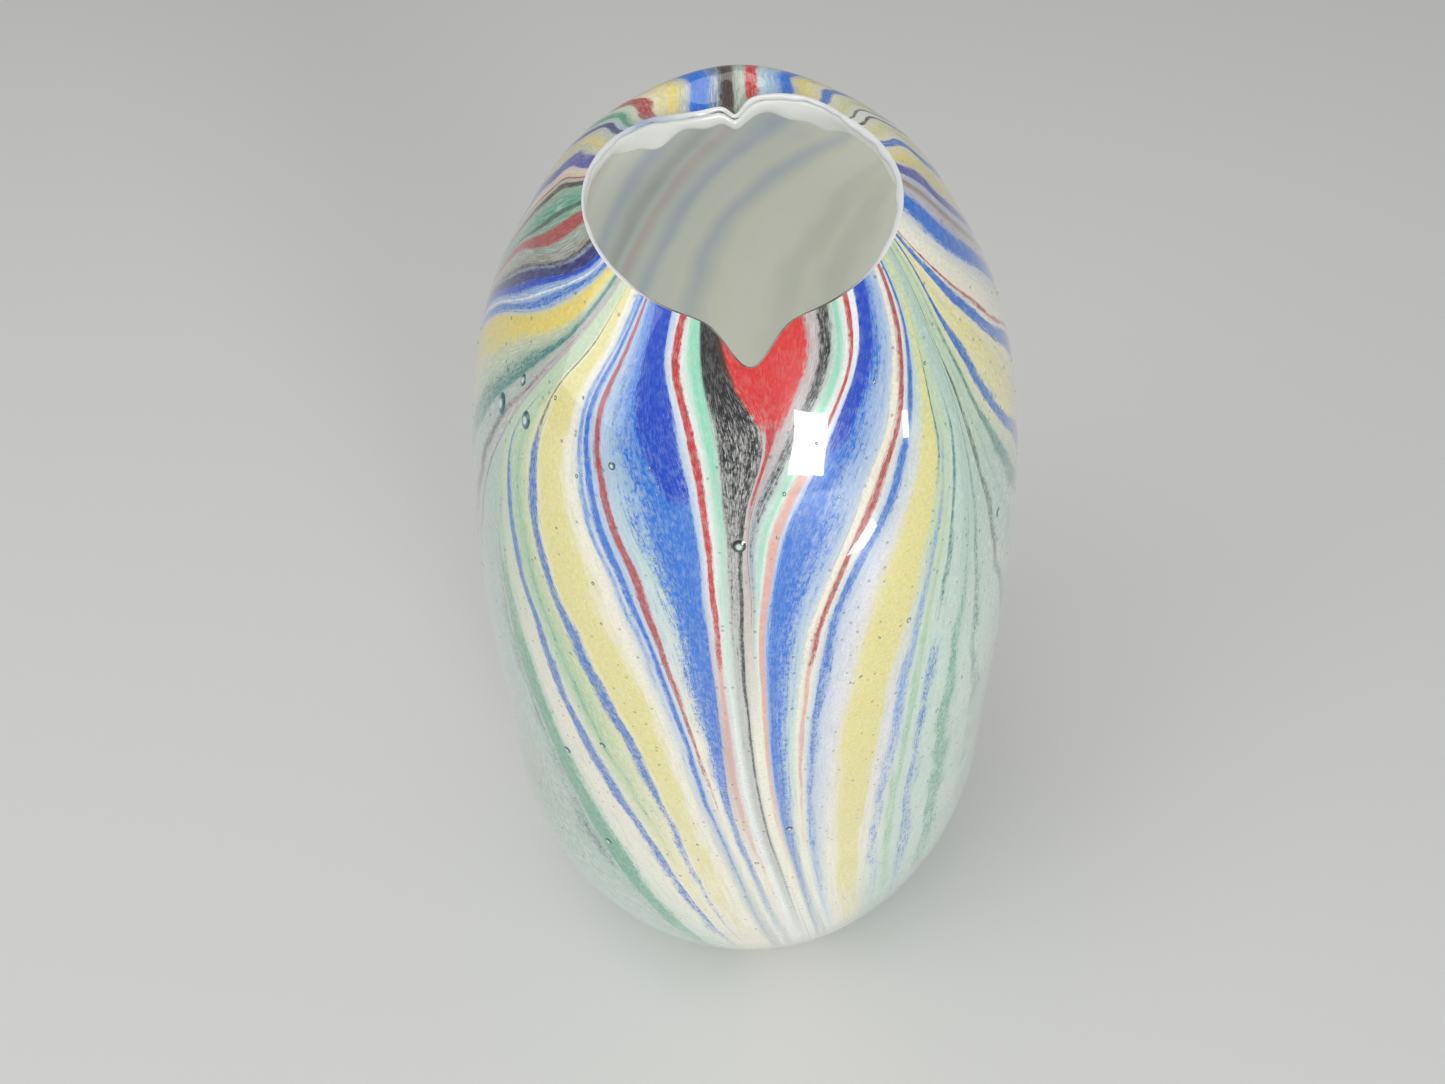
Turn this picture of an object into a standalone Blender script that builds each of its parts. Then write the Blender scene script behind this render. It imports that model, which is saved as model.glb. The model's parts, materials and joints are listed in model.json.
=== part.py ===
"""Hand blown art glass vase: an opal lining, feathered ribbons of coloured glass laid on it,
and a clear casing gathered over both. Metres, +Z up, origin at the middle of the ground foot,
the notch in the lip towards -Y."""

import bpy
import bmesh
import numpy as np
from math import radians, pi

# Driving dimensions
BODY_RADIUS = 0.075
BODY_HEIGHT = 0.270
LIP_RADIUS = 0.0295          # the round mouth, seen from above
LIP_FORWARD = 0.0095         # how far the mouth lies in front of the body's axis
NOTCH_DEPTH = 0.0075         # how far the notch runs on down the shoulder
NOTCH_HALF_WIDTH = radians(7.0)
BACK_LIFT = 0.0033           # the glass swells up a little way behind the lip at the back
BACK_LIFT_FROM_LIP = 0.007
BACK_LIFT_REACH = 0.012
BACK_LIFT_HALF_WIDTH = radians(34)
CURL_DROP = 0.0060           # and the lip itself curls over, down into the mouth
CURL_REACH = 0.005
CURL_TURN = radians(12)
CURL_HALF_WIDTH = radians(34)
FOLD_DROP = 0.0028           # with a small pinched fold in it
FOLD_REACH = 0.004
FOLD_HALF_WIDTH = radians(5)
LINING = 0.0020              # thickness of the opal lining
COLOUR = 0.0008              # thickness of the coloured ribbons
CASING = 0.0012              # thickness of the clear casing
GAP = 0.00045                # clearance between one layer of glass and the next
RIBBON_GAP = 0.0006          # clearance between neighbouring ribbons
RIBBON_LEAST = 0.0016        # a ribbon ends where it would be narrower than this
COLUMN_STEP = 9.0            # degrees between the columns of a layer's mesh
RIBBON_FROM = 0.014          # share of the way from the lip to the foot's edge where ribbons start
SWEEP_UNTIL = 0.25           # down to this share the ribbons sweep round and need twice the rows

# Half outline of the body: radius and depth below the dome, both in body radii
OUTLINE = [
    (0.315, 0.00), (0.418, 0.03), (0.495, 0.09), (0.578, 0.20), (0.688, 0.38),
    (0.791, 0.65), (0.873, 1.05), (0.935, 1.60), (0.971, 2.20), (0.993, 2.70),
    (0.957, 3.00), (0.900, 3.20), (0.815, 3.38), (0.710, 3.52), (0.600, 3.60),
]
# Rows of a layer's mesh, as a share of the way from the lip to the edge of the foot
ROWS = [
    0, 0.007, 0.014, 0.024, 0.035, 0.047, 0.06, 0.09, 0.125, 0.165, 0.21, 0.27, 0.35,
    0.45, 0.56, 0.66, 0.74, 0.80, 0.85, 0.89, 0.925, 0.96, 1.0,
]

# Centre lines of the coloured glass. Each line: name, colour, then its azimuth in degrees
# (0 in front, + to the right) at these distances from the dome's top, in body radii.
LINE_STATIONS = [0.0, 0.2, 0.35, 0.5, 0.7, 1.0, 1.4, 2.0, 2.6, 3.3, 3.93]
LINES = [
    ("olive_back", "olive", [-177, -176, -170, -163, -155, -146, -137, -129, -124, -121, -120]),
    ("blue_back_left", "blue", [-160, -160, -157, -152, -146, -139, -131, -124, -119, -116, -115]),
    ("yellow_back_left", "yellow", [-148, -148, -146, -143, -139, -133, -126, -120, -115.5, -113, -112]),
    ("russet_back_left", "russet", [-133, -133, -132, -131, -129, -125.5, -122, -118, -114.5, -112, -111]),
    ("green_back_left", "green", [-116, -116, -118, -118.5, -119.5, -119, -117.5, -115, -112.6, -110.3, -109.5]),
    ("amber_left", "amber", [-101, -104, -107, -109, -111, -113, -112.5, -111.5, -110.5, -109, -108]),
    ("violet_left", "violet", [-84, -92.5, -97, -100, -103.5, -106, -107, -107.2, -107, -106.5, -106]),
    ("green_left", "green", [-71, -81.5, -89, -94.5, -99.3, -102, -103.8, -104.5, -105.2, -104.9, -104.3]),
    ("red_left", "red", [-58, -62, -79.5, -88, -95.5, -99.5, -101.6, -102.5, -103.6, -103.3, -102.7]),
    ("navy_left", "navy", [-47, -48, -63, -79, -90.5, -96, -98.8, -100.5, -102, -101.7, -101]),
    ("yellow_left", "yellow", [-41, -41.5, -50.5, -70, -85, -92, -96, -98.8, -100.4, -100, -99.4]),
    ("teal_left", "teal", [-38, -38, -44, -52.5, -62, -71.5, -80, -86, -89, -88.5, -88]),
    ("mint_left", "mint", [-36, -36, -41, -48, -55.5, -56, -51, -38, -25, -9, -7]),
    ("yellow_front_left", "yellow", [-33, -33, -37, -42, -43.5, -37, -26, -16, -9, -1, 0]),
    ("cream_front_left", "cream", [-30, -30, -33, -36.5, -34.5, -25, -17, -10, -3, 4, 5]),
    ("cobalt_front_left", "cobalt", [-23, -23, -23, -22, -17, -12, -9, -5, 1, 8, 9]),
    ("mint_front_left", "mint", [-15.5, -15.5, -14.5, -11, -8.2, -6.6, -5, -2, 4.5, 10.5, 11.5]),
    ("black_spine", "black", [-8, -8, -7.5, -4.5, -3.4, -3, -2.3, 0.6, 6.3, 12.2, 13]),
    ("red_heart", "red", [6, 6, 6, 3.5, 0.5, -0.2, 0.2, 2.6, 8, 13.8, 14.6]),
    ("mint_front_right", "mint", [23, 23, 21, 13, 4.5, 1.2, 1.2, 3.6, 9, 15, 16]),
    ("cobalt_front_right", "cobalt", [33, 33, 30, 23, 13.5, 6.2, 4.6, 6.2, 10.8, 17, 18]),
    ("cream_front_right", "cream", [40.5, 40.5, 39, 35, 27, 16, 11, 10.5, 13.5, 19.5, 21]),
    ("yellow_front_right", "yellow", [43, 43, 42, 40, 36.5, 28, 21.5, 19, 19.5, 23, 24]),
    ("mint_right", "mint", [46, 46, 46, 46, 46, 46, 43, 41, 41, 42, 43]),
    ("teal_right", "teal", [48.5, 48.5, 49.5, 50.6, 54, 62, 72, 80, 86, 90, 91]),
    ("blue_right", "blue", [51, 52, 55, 61, 69, 84, 97, 103, 105.6, 107, 107]),
    ("navy_right", "navy", [61, 62, 70, 80, 91.5, 100.5, 105.5, 108, 110, 111, 111]),
    ("violet_right", "violet", [77, 78, 86, 95, 104, 109.5, 112, 113.5, 114.5, 115.5, 115.5]),
    ("yellow_right", "yellow", [95, 96, 104, 113, 122, 129, 132, 133, 134, 134, 134]),
    ("grey_back_right", "grey", [117, 119, 129, 141, 153, 163, 170, 174, 177, 178, 178]),
    ("blue_back_right", "blue", [132, 135, 147, 160, 173, 186, 194, 200, 203, 205, 206]),
    ("yellow_back_right", "yellow", [150, 153, 163, 175, 186, 198, 207, 214, 218, 220, 221]),
    ("red_back", "red", [170, 172, 180, 189, 198, 208, 217, 225, 229, 232, 233]),
]
COLOURS = {
    "opal": (0.86, 0.87, 0.83), "clear": (0.93, 0.97, 0.96), "cobalt": (0.02, 0.08, 0.55),
    "navy": (0.03, 0.03, 0.25), "blue": (0.10, 0.25, 0.62), "violet": (0.22, 0.20, 0.50),
    "teal": (0.10, 0.35, 0.33), "mint": (0.45, 0.68, 0.55), "green": (0.20, 0.42, 0.28),
    "yellow": (0.75, 0.68, 0.30), "amber": (0.78, 0.55, 0.14), "cream": (0.80, 0.76, 0.62),
    "red": (0.62, 0.05, 0.05), "russet": (0.35, 0.12, 0.08), "black": (0.05, 0.04, 0.04),
    "grey": (0.42, 0.42, 0.40), "olive": (0.16, 0.15, 0.10),
}


def cubic_through(points, per_span):
    """Samples a natural cubic curve through the points, spaced by their chords."""
    points = np.array(points, float)
    chord = np.hypot(*np.diff(points, axis=0).T)
    count = len(points)
    matrix = np.eye(count)
    right = np.zeros_like(points)
    for i in range(1, count - 1):
        matrix[i, i - 1:i + 2] = chord[i - 1], 2 * (chord[i - 1] + chord[i]), chord[i]
        slope_after = (points[i + 1] - points[i]) / chord[i]
        slope_before = (points[i] - points[i - 1]) / chord[i - 1]
        right[i] = 6 * (slope_after - slope_before)
    bend = np.linalg.solve(matrix, right)
    samples = []
    for i, length in enumerate(chord):
        t = np.linspace(0, 1, per_span, endpoint=False)[:, None]
        ease_in = ((1 - t) ** 3 - (1 - t)) * length ** 2 / 6
        ease_out = (t ** 3 - t) * length ** 2 / 6
        samples.append((1 - t) * points[i] + t * points[i + 1] + ease_in * bend[i] + ease_out * bend[i + 1])
    return np.vstack(samples + [points[-1:]])


class Skin:
    """The vase's outer surface: the turned outline, and a flat foot that closes it at the axis."""

    def __init__(self):
        body = cubic_through(OUTLINE, 24) * BODY_RADIUS
        body[:, 1] = BODY_HEIGHT - body[:, 1]
        across = np.linspace(1, 0, 40)[1:, None]
        foot = np.hstack([across * body[-1, 0], 0 * across])
        self.points = np.vstack([body, foot])
        steps = np.diff(self.points, axis=0)
        self.along = np.concatenate([[0], np.cumsum(np.hypot(*steps.T))])
        self.foot_edge = self.along[len(body) - 1]
        self.axis_end = self.along[-1]
        ahead = np.array([self.point_at(s + 0.002) - self.point_at(s - 0.002) for s in self.along])
        length = np.hypot(*ahead.T)[:, None]
        self.normals = np.stack([-ahead[:, 1], ahead[:, 0]], -1) / length

    def point_at(self, along):
        return np.array([np.interp(along, self.along, self.points[:, i]) for i in (0, 1)])

    def lip(self, azimuth):
        """Distance along the outline at which the lip cuts it."""
        forward = LIP_FORWARD * np.cos(azimuth)
        radius = forward + np.sqrt(forward ** 2 - LIP_FORWARD ** 2 + LIP_RADIUS ** 2)
        shoulder = slice(0, 150)
        round_lip = np.interp(radius, self.points[shoulder, 0], self.along[shoulder])
        aside = (wrapped(azimuth) / NOTCH_HALF_WIDTH) ** 2
        return round_lip + NOTCH_DEPTH * np.exp(-aside)

    def at(self, azimuth, along, depth):
        """A point of the glass, this deep under the outer surface."""
        radius, height = self.point_at(along)
        out, up = [np.interp(along, self.along, self.normals[:, i]) for i in (0, 1)]
        from_lip = along - self.lip(azimuth)
        behind = wrapped(azimuth - pi)
        swell = BACK_LIFT * np.exp(-((from_lip - BACK_LIFT_FROM_LIP) / BACK_LIFT_REACH) ** 2)
        curl = CURL_DROP * np.exp(-(from_lip / CURL_REACH) ** 2)
        fold = FOLD_DROP * np.exp(-(from_lip / FOLD_REACH) ** 2)
        height += swell * np.exp(-(behind / BACK_LIFT_HALF_WIDTH) ** 2)
        height -= curl * np.exp(-(wrapped(behind - CURL_TURN) / CURL_HALF_WIDTH) ** 2)
        height -= fold * np.exp(-(behind / FOLD_HALF_WIDTH) ** 2)
        radius -= depth * out
        height -= depth * up
        return (radius * np.sin(azimuth), -radius * np.cos(azimuth), height)


def wrapped(angle):
    return (angle + pi) % (2 * pi) - pi


def material(name):
    made = bpy.data.materials.new(name)
    made.use_nodes = True
    shader = made.node_tree.nodes["Principled BSDF"]
    shader.inputs["Base Color"].default_value = (*COLOURS[name], 1)
    shader.inputs["Roughness"].default_value = 0.05
    shader.inputs["Metallic"].default_value = 0
    shader.inputs["IOR"].default_value = 1.5
    if name == "clear":
        shader.inputs["Transmission Weight"].default_value = 1
    return made


def solid_between(name, outer, inner, closed_round, colour, collection):
    """One closed body between two grids of points. Rows run from the lip down."""
    mesh = bmesh.new()
    grids = [[[mesh.verts.new(p) for p in row] for row in grid] for grid in (outer, inner)]
    rows, columns = len(outer), len(outer[0])
    spans = columns if closed_round else columns - 1

    def quad(a, b, c, d):
        mesh.faces.new((a, b, c, d))

    for j in range(rows - 1):
        for i in range(spans):
            k = (i + 1) % columns
            skin, back = grids
            quad(skin[j][i], skin[j + 1][i], skin[j + 1][k], skin[j][k])
            quad(back[j][k], back[j + 1][k], back[j + 1][i], back[j][i])
    for i in range(spans):
        k = (i + 1) % columns
        quad(grids[1][0][i], grids[0][0][i], grids[0][0][k], grids[1][0][k])
        if not closed_round:
            quad(grids[0][-1][i], grids[1][-1][i], grids[1][-1][k], grids[0][-1][k])
    if not closed_round:
        for j in range(rows - 1):
            quad(grids[1][j][0], grids[1][j + 1][0], grids[0][j + 1][0], grids[0][j][0])
            quad(grids[0][j][-1], grids[0][j + 1][-1], grids[1][j + 1][-1], grids[1][j][-1])
    bmesh.ops.remove_doubles(mesh, verts=mesh.verts, dist=1e-6)
    data = bpy.data.meshes.new(name)
    mesh.to_mesh(data)
    mesh.free()
    data.shade_smooth()
    data.set_sharp_from_angle(angle=radians(40))
    data.materials.append(colour)
    made = bpy.data.objects.new(name, data)
    collection.objects.link(made)
    return made


def layer_azimuths():
    """Even columns, with closer ones round the notch and the fold."""
    even = np.arange(-180, 180, COLUMN_STEP)
    away = even[(np.abs(even) > 14) & (np.abs(even) < 165)]
    notch = [-13, -9, -6, -3, 0, 3, 6, 9, 13]
    fold = [168, 174, 180, -174, -168]
    return np.radians(np.sort(np.concatenate([away, notch, fold])))


def make_layer(skin, name, top, thickness, colour, collection):
    """A layer that goes all the way round and under the vase, its upper face this deep."""
    azimuths = layer_azimuths()
    grids = []
    for depth in (top, top + thickness):
        grid = []
        for share in ROWS:
            starts = skin.lip(azimuths)
            stations = starts + share * (skin.foot_edge - starts)
            grid.append([skin.at(a, s, depth) for a, s in zip(azimuths, stations)])
        for share in (0.5, 1):
            station = skin.foot_edge + share * (skin.axis_end - skin.foot_edge)
            grid.append([skin.at(a, station, depth) for a in azimuths])
        grids.append(grid)
    return solid_between(name, *grids, True, colour, collection)


def line_azimuth(skin, line, share):
    """Azimuth of a line where it is this share of the way down from the lip."""
    azimuth = radians(line[1])
    stations = np.array(LINE_STATIONS) * BODY_RADIUS
    for _ in range(8):
        start = skin.lip(azimuth)
        azimuth = np.interp(start + share * (skin.foot_edge - start), stations, np.radians(line))
    return azimuth


def ribbon_shares():
    shares = [share for share in ROWS[:-1] if share >= RIBBON_FROM]
    midway = [(a + b) / 2 for a, b in zip(shares, shares[1:]) if 0.06 <= a and b < SWEEP_UNTIL]
    return sorted(shares + midway)


def make_ribbon(skin, name, edges, top, colour, collection):
    """A ribbon between two edge lines, left out where it would be too narrow."""
    rows = []
    for share in ribbon_shares():
        left, right = [line_azimuth(skin, edge, share) for edge in edges]
        start = skin.lip((left + right) / 2)
        radius = skin.point_at(start + share * (skin.foot_edge - start))[0]
        margin = RIBBON_GAP / 2 / radius
        if (right - left - 2 * margin) * radius >= RIBBON_LEAST:
            rows.append((share, left + margin, right - margin))
        elif rows:
            break
    widest = max(right - left for _, left, right in rows)
    columns = max(1, int(np.ceil(np.degrees(widest) / COLUMN_STEP)))
    grids = []
    for depth in (top, top + COLOUR):
        grid = []
        for share, left, right in rows:
            azimuths = np.linspace(left, right, columns + 1)
            starts = skin.lip(azimuths)
            stations = starts + share * (skin.foot_edge - starts)
            grid.append([skin.at(a, s, depth) for a, s in zip(azimuths, stations)])
        grids.append(grid)
    return solid_between(name, *grids, False, colour, collection)


def main():
    for old in list(bpy.data.objects):
        bpy.data.objects.remove(old)
    collection = bpy.data.collections.new("art_glass_vase")
    bpy.context.scene.collection.children.link(collection)
    materials = {name: material(name) for name in COLOURS}
    skin = Skin()
    make_layer(skin, "clear_casing", 0, CASING, materials["clear"], collection)
    colour_top = CASING + GAP
    centres = np.array([line for _, _, line in LINES])
    centres = np.vstack([centres[-1] - 360, centres, centres[0] + 360])
    edges = (centres[:-1] + centres[1:]) / 2
    for (name, colour, _), *pair in zip(LINES, edges[:-1], edges[1:]):
        make_ribbon(skin, name + "_ribbon", pair, colour_top, materials[colour], collection)
    lining_top = colour_top + COLOUR + GAP
    make_layer(skin, "opal_lining", lining_top, LINING, materials["opal"], collection)


main()
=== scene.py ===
import json
from math import cos, pi, radians, sin

import bmesh
import bpy
import numpy as np
from mathutils import Matrix, Vector


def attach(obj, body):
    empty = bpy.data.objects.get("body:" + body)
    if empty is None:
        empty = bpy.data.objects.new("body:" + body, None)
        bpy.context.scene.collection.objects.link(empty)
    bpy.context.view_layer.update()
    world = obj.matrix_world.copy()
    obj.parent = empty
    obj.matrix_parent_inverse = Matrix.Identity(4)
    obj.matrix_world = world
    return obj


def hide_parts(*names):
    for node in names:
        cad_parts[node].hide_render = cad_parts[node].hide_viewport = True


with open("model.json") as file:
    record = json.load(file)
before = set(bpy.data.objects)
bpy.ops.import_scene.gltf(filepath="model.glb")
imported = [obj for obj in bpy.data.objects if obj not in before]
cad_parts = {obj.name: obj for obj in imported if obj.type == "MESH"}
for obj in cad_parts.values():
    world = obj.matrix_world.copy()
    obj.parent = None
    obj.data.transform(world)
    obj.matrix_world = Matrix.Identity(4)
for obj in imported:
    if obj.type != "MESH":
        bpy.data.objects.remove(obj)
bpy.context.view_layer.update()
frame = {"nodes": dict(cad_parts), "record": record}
print("frame loaded:", len(frame["nodes"]), "nodes")

# ---------------------------------------------------------------- shape of the glass
body = {
    "radius": 0.075,
    "height": 0.270,
    "wave": 0.00010,        # slow unevenness of the hand-shaped surface
    "waveFromLip": 0.02,    # it grows to its full size over this distance
    "skin": 0.5,            # how deep the coloured glass goes, as a share of the wall
    "wall": 0.0049,         # whole wall
    "lipWall": 0.0013,      # the wall thins to this at the lip
    "lipTaper": 0.0020,     # over about this distance
    "backFold": 0.0034,     # extra glass inside the lip at the back
    "backFoldTurn": radians(192),
    "backFoldWidth": radians(62),
    "backFoldFromLip": 0.0045,
    "backFoldReach": 0.004,
    "pointsPerSpan": 40,    # of the outline below
    "shoulderSpans": 6,     # the lip lies somewhere in these spans
}
# half outline: radius and depth below the dome, both in body radii
outline = [
    (0.315, 0.00), (0.418, 0.03), (0.495, 0.09), (0.578, 0.20), (0.688, 0.38),
    (0.791, 0.65), (0.873, 1.05), (0.935, 1.60), (0.971, 2.20), (0.993, 2.70),
    (0.957, 3.00), (0.900, 3.20), (0.815, 3.38), (0.710, 3.52), (0.600, 3.60),
]
lip = {
    "radius": 0.0295,       # the round mouth, seen from above
    "forward": 0.0095,
    "notchDepth": 0.0075,
    "notchWidth": radians(7.0),
    "swell": 0.0033,        # the glass swells up a little way behind the lip at the back
    "swellFromLip": 0.007,
    "swellReach": 0.012,
    "backWidth": radians(34),
    "curl": 0.0060,         # and the lip itself curls over, down into the mouth
    "curlReach": 0.005,
    "curlTurn": radians(12),
    "fold": 0.0028,         # with a small pinched fold in it
    "foldReach": 0.004,
    "foldWidth": radians(5),
    "bead": 0.00058,        # radius of the fire-polished edge
    "beadAtNotch": 0.00030,
}

# ---------------------------------------------------------------- colours of the glass, 0-255 as seen
glassColours = {
    "white": (236, 241, 238), "cream": (240, 235, 214), "lilac": (222, 220, 228),
    "gold": (233, 213, 106), "yellow": (228, 220, 144), "paleYellow": (234, 228, 166),
    "peach": (234, 205, 175), "pink": (222, 168, 155), "pinkGrey": (186, 164, 166),
    "grey": (186, 188, 184), "darkGrey": (84, 82, 84), "black": (26, 24, 26),
    "paleMint": (196, 221, 207), "mint": (140, 216, 184), "paleGreen": (190, 212, 172),
    "leaf": (150, 196, 150), "seaGreen": (64, 158, 122), "teal": (52, 128, 122),
    "deepTeal": (24, 88, 94), "sage": (148, 172, 152), "greyMint": (170, 198, 186),
    "blueGrey": (160, 178, 194), "paleBlue": (172, 194, 222), "skyBlue": (104, 150, 220),
    "blue": (24, 108, 200), "cobalt": (4, 106, 208), "deepCobalt": (0, 64, 192),
    "navy": (40, 36, 104), "violet": (86, 80, 166), "red": (196, 34, 42),
    "heartRed": (214, 44, 42), "brick": (176, 62, 64), "umber": (66, 48, 40),
    "taupe": (146, 140, 124), "olive": (92, 92, 62), "pine": (70, 98, 84),
}


def wrapped(angle):
    return (angle + pi) % (2 * pi) - pi


def smoothThrough(stations, values, at):
    # a smooth curve through each row of values, read at the places in at
    stations, values = np.array(stations, float), np.array(values, float)
    slopes = np.gradient(values, stations, axis=1)
    span = np.clip(np.searchsorted(stations, at) - 1, 0, len(stations) - 2)
    length = stations[span + 1] - stations[span]
    t = (at - stations[span]) / length
    return (
        (2 * t**3 - 3 * t**2 + 1) * values[:, span]
        + (t**3 - 2 * t**2 + t) * length * slopes[:, span]
        + (3 * t**2 - 2 * t**3) * values[:, span + 1]
        + (t**3 - t**2) * length * slopes[:, span + 1]
    )


def cubicThrough(points, perSpan):
    # natural cubic through the points, spaced by their chords
    points = np.array(points, float)
    chord = np.hypot(*np.diff(points, axis=0).T)
    count = len(points)
    matrix = np.eye(count)
    right = np.zeros_like(points)
    for i in range(1, count - 1):
        matrix[i, i - 1:i + 2] = chord[i - 1], 2 * (chord[i - 1] + chord[i]), chord[i]
        right[i] = 6 * ((points[i + 1] - points[i]) / chord[i] - (points[i] - points[i - 1]) / chord[i - 1])
    bend = np.linalg.solve(matrix, right)
    samples = []
    for i, length in enumerate(chord):
        t = np.linspace(0, 1, perSpan, endpoint=False)[:, None]
        straight = (1 - t) * points[i] + t * points[i + 1]
        easeIn = ((1 - t) ** 3 - (1 - t)) * length**2 / 6
        easeOut = (t**3 - t) * length**2 / 6
        samples.append(straight + easeIn * bend[i] + easeOut * bend[i + 1])
    return np.vstack(samples + [points[-1:]])


class Skin:
    # the outer surface: a turned outline with a hand-cut mouth, read by azimuth and distance down

    def __init__(self):
        self.points = cubicThrough(outline, body["pointsPerSpan"]) * body["radius"]
        self.points[:, 1] = body["height"] - self.points[:, 1]
        steps = np.hypot(*np.diff(self.points, axis=0).T)
        self.along = np.concatenate([[0], np.cumsum(steps)])
        self.foot = self.along[-1]
        ahead = np.gradient(self.points, self.along, axis=0)
        ahead /= np.hypot(*ahead.T)[:, None]
        self.out, self.up = -ahead[:, 1], ahead[:, 0]

    def lipAt(self, azimuth):
        forward = lip["forward"] * np.cos(azimuth)
        radius = forward + np.sqrt(forward**2 - lip["forward"] ** 2 + lip["radius"] ** 2)
        shoulder = slice(0, body["shoulderSpans"] * body["pointsPerSpan"])
        roundLip = np.interp(radius, self.points[shoulder, 0], self.along[shoulder])
        return roundLip + lip["notchDepth"] * np.exp(-((wrapped(azimuth) / lip["notchWidth"]) ** 2))

    def at(self, azimuth, along, depth):
        radius, height, out, up = [
            np.interp(along, self.along, column)
            for column in (self.points[:, 0], self.points[:, 1], self.out, self.up)
        ]
        fromLip = along - self.lipAt(azimuth)
        behind = wrapped(azimuth - pi)
        swell = lip["swell"] * np.exp(-(((fromLip - lip["swellFromLip"]) / lip["swellReach"]) ** 2))
        curl = lip["curl"] * np.exp(-((fromLip / lip["curlReach"]) ** 2))
        fold = lip["fold"] * np.exp(-((fromLip / lip["foldReach"]) ** 2))
        height = height + swell * np.exp(-((behind / lip["backWidth"]) ** 2))
        height = height - curl * np.exp(-((wrapped(behind - lip["curlTurn"]) / lip["backWidth"]) ** 2))
        height = height - fold * np.exp(-((behind / lip["foldWidth"]) ** 2))
        uneven = np.sin(5 * azimuth + along * 90) * np.sin(along * 170 + 2 * azimuth + 1)
        full = 1 - np.exp(-((fromLip / body["waveFromLip"]) ** 2))
        sunk = depth + full * body["wave"] * (1 + uneven)
        radius, height = radius - sunk * out, height - sunk * up
        return np.stack([radius * np.sin(azimuth), -radius * np.cos(azimuth), height], -1)


skin = Skin()


def wallAt(azimuth, along):
    fromLip = along - skin.lipAt(azimuth)
    thin = np.exp(-fromLip / body["lipTaper"])
    atBack = np.exp(-((wrapped(azimuth - body["backFoldTurn"]) / body["backFoldWidth"]) ** 2))
    atFold = np.exp(-(((fromLip - body["backFoldFromLip"]) / body["backFoldReach"]) ** 2))
    fold = body["backFold"] * atBack * atFold
    return body["wall"] - (body["wall"] - body["lipWall"]) * thin + fold


def sideways(azimuth, along, nudge):
    return skin.at(azimuth + nudge, along, 0.0) - skin.at(azimuth - nudge, along, 0.0)


def downhill(azimuth, along, nudge):
    return skin.at(azimuth, along + nudge, 0.0) - skin.at(azimuth, along - nudge, 0.0)


def unit(vectors):
    return vectors / np.linalg.norm(vectors, axis=-1, keepdims=True)


# ---------------------------------------------------------------- how the colours were pulled
# azimuth of each line of the pull (degrees, 0 in front, + to the right) at these distances down
# from the dome, in body radii
stations = [0.0, 0.2, 0.35, 0.5, 0.7, 1.0, 1.4, 2.0, 2.6, 3.3, 3.93]
# the glass under the threads, at these distances down
heights = [0.3, 0.9, 1.6, 2.4, 3.2]
fading = [(0.3, 1), (0.9, 1), (1.6, 0.75), (2.4, 0.45), (3.2, 0.2)]


def fades(*values):
    # strength of a thread at those distances down
    return list(zip(heights, values))


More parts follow.
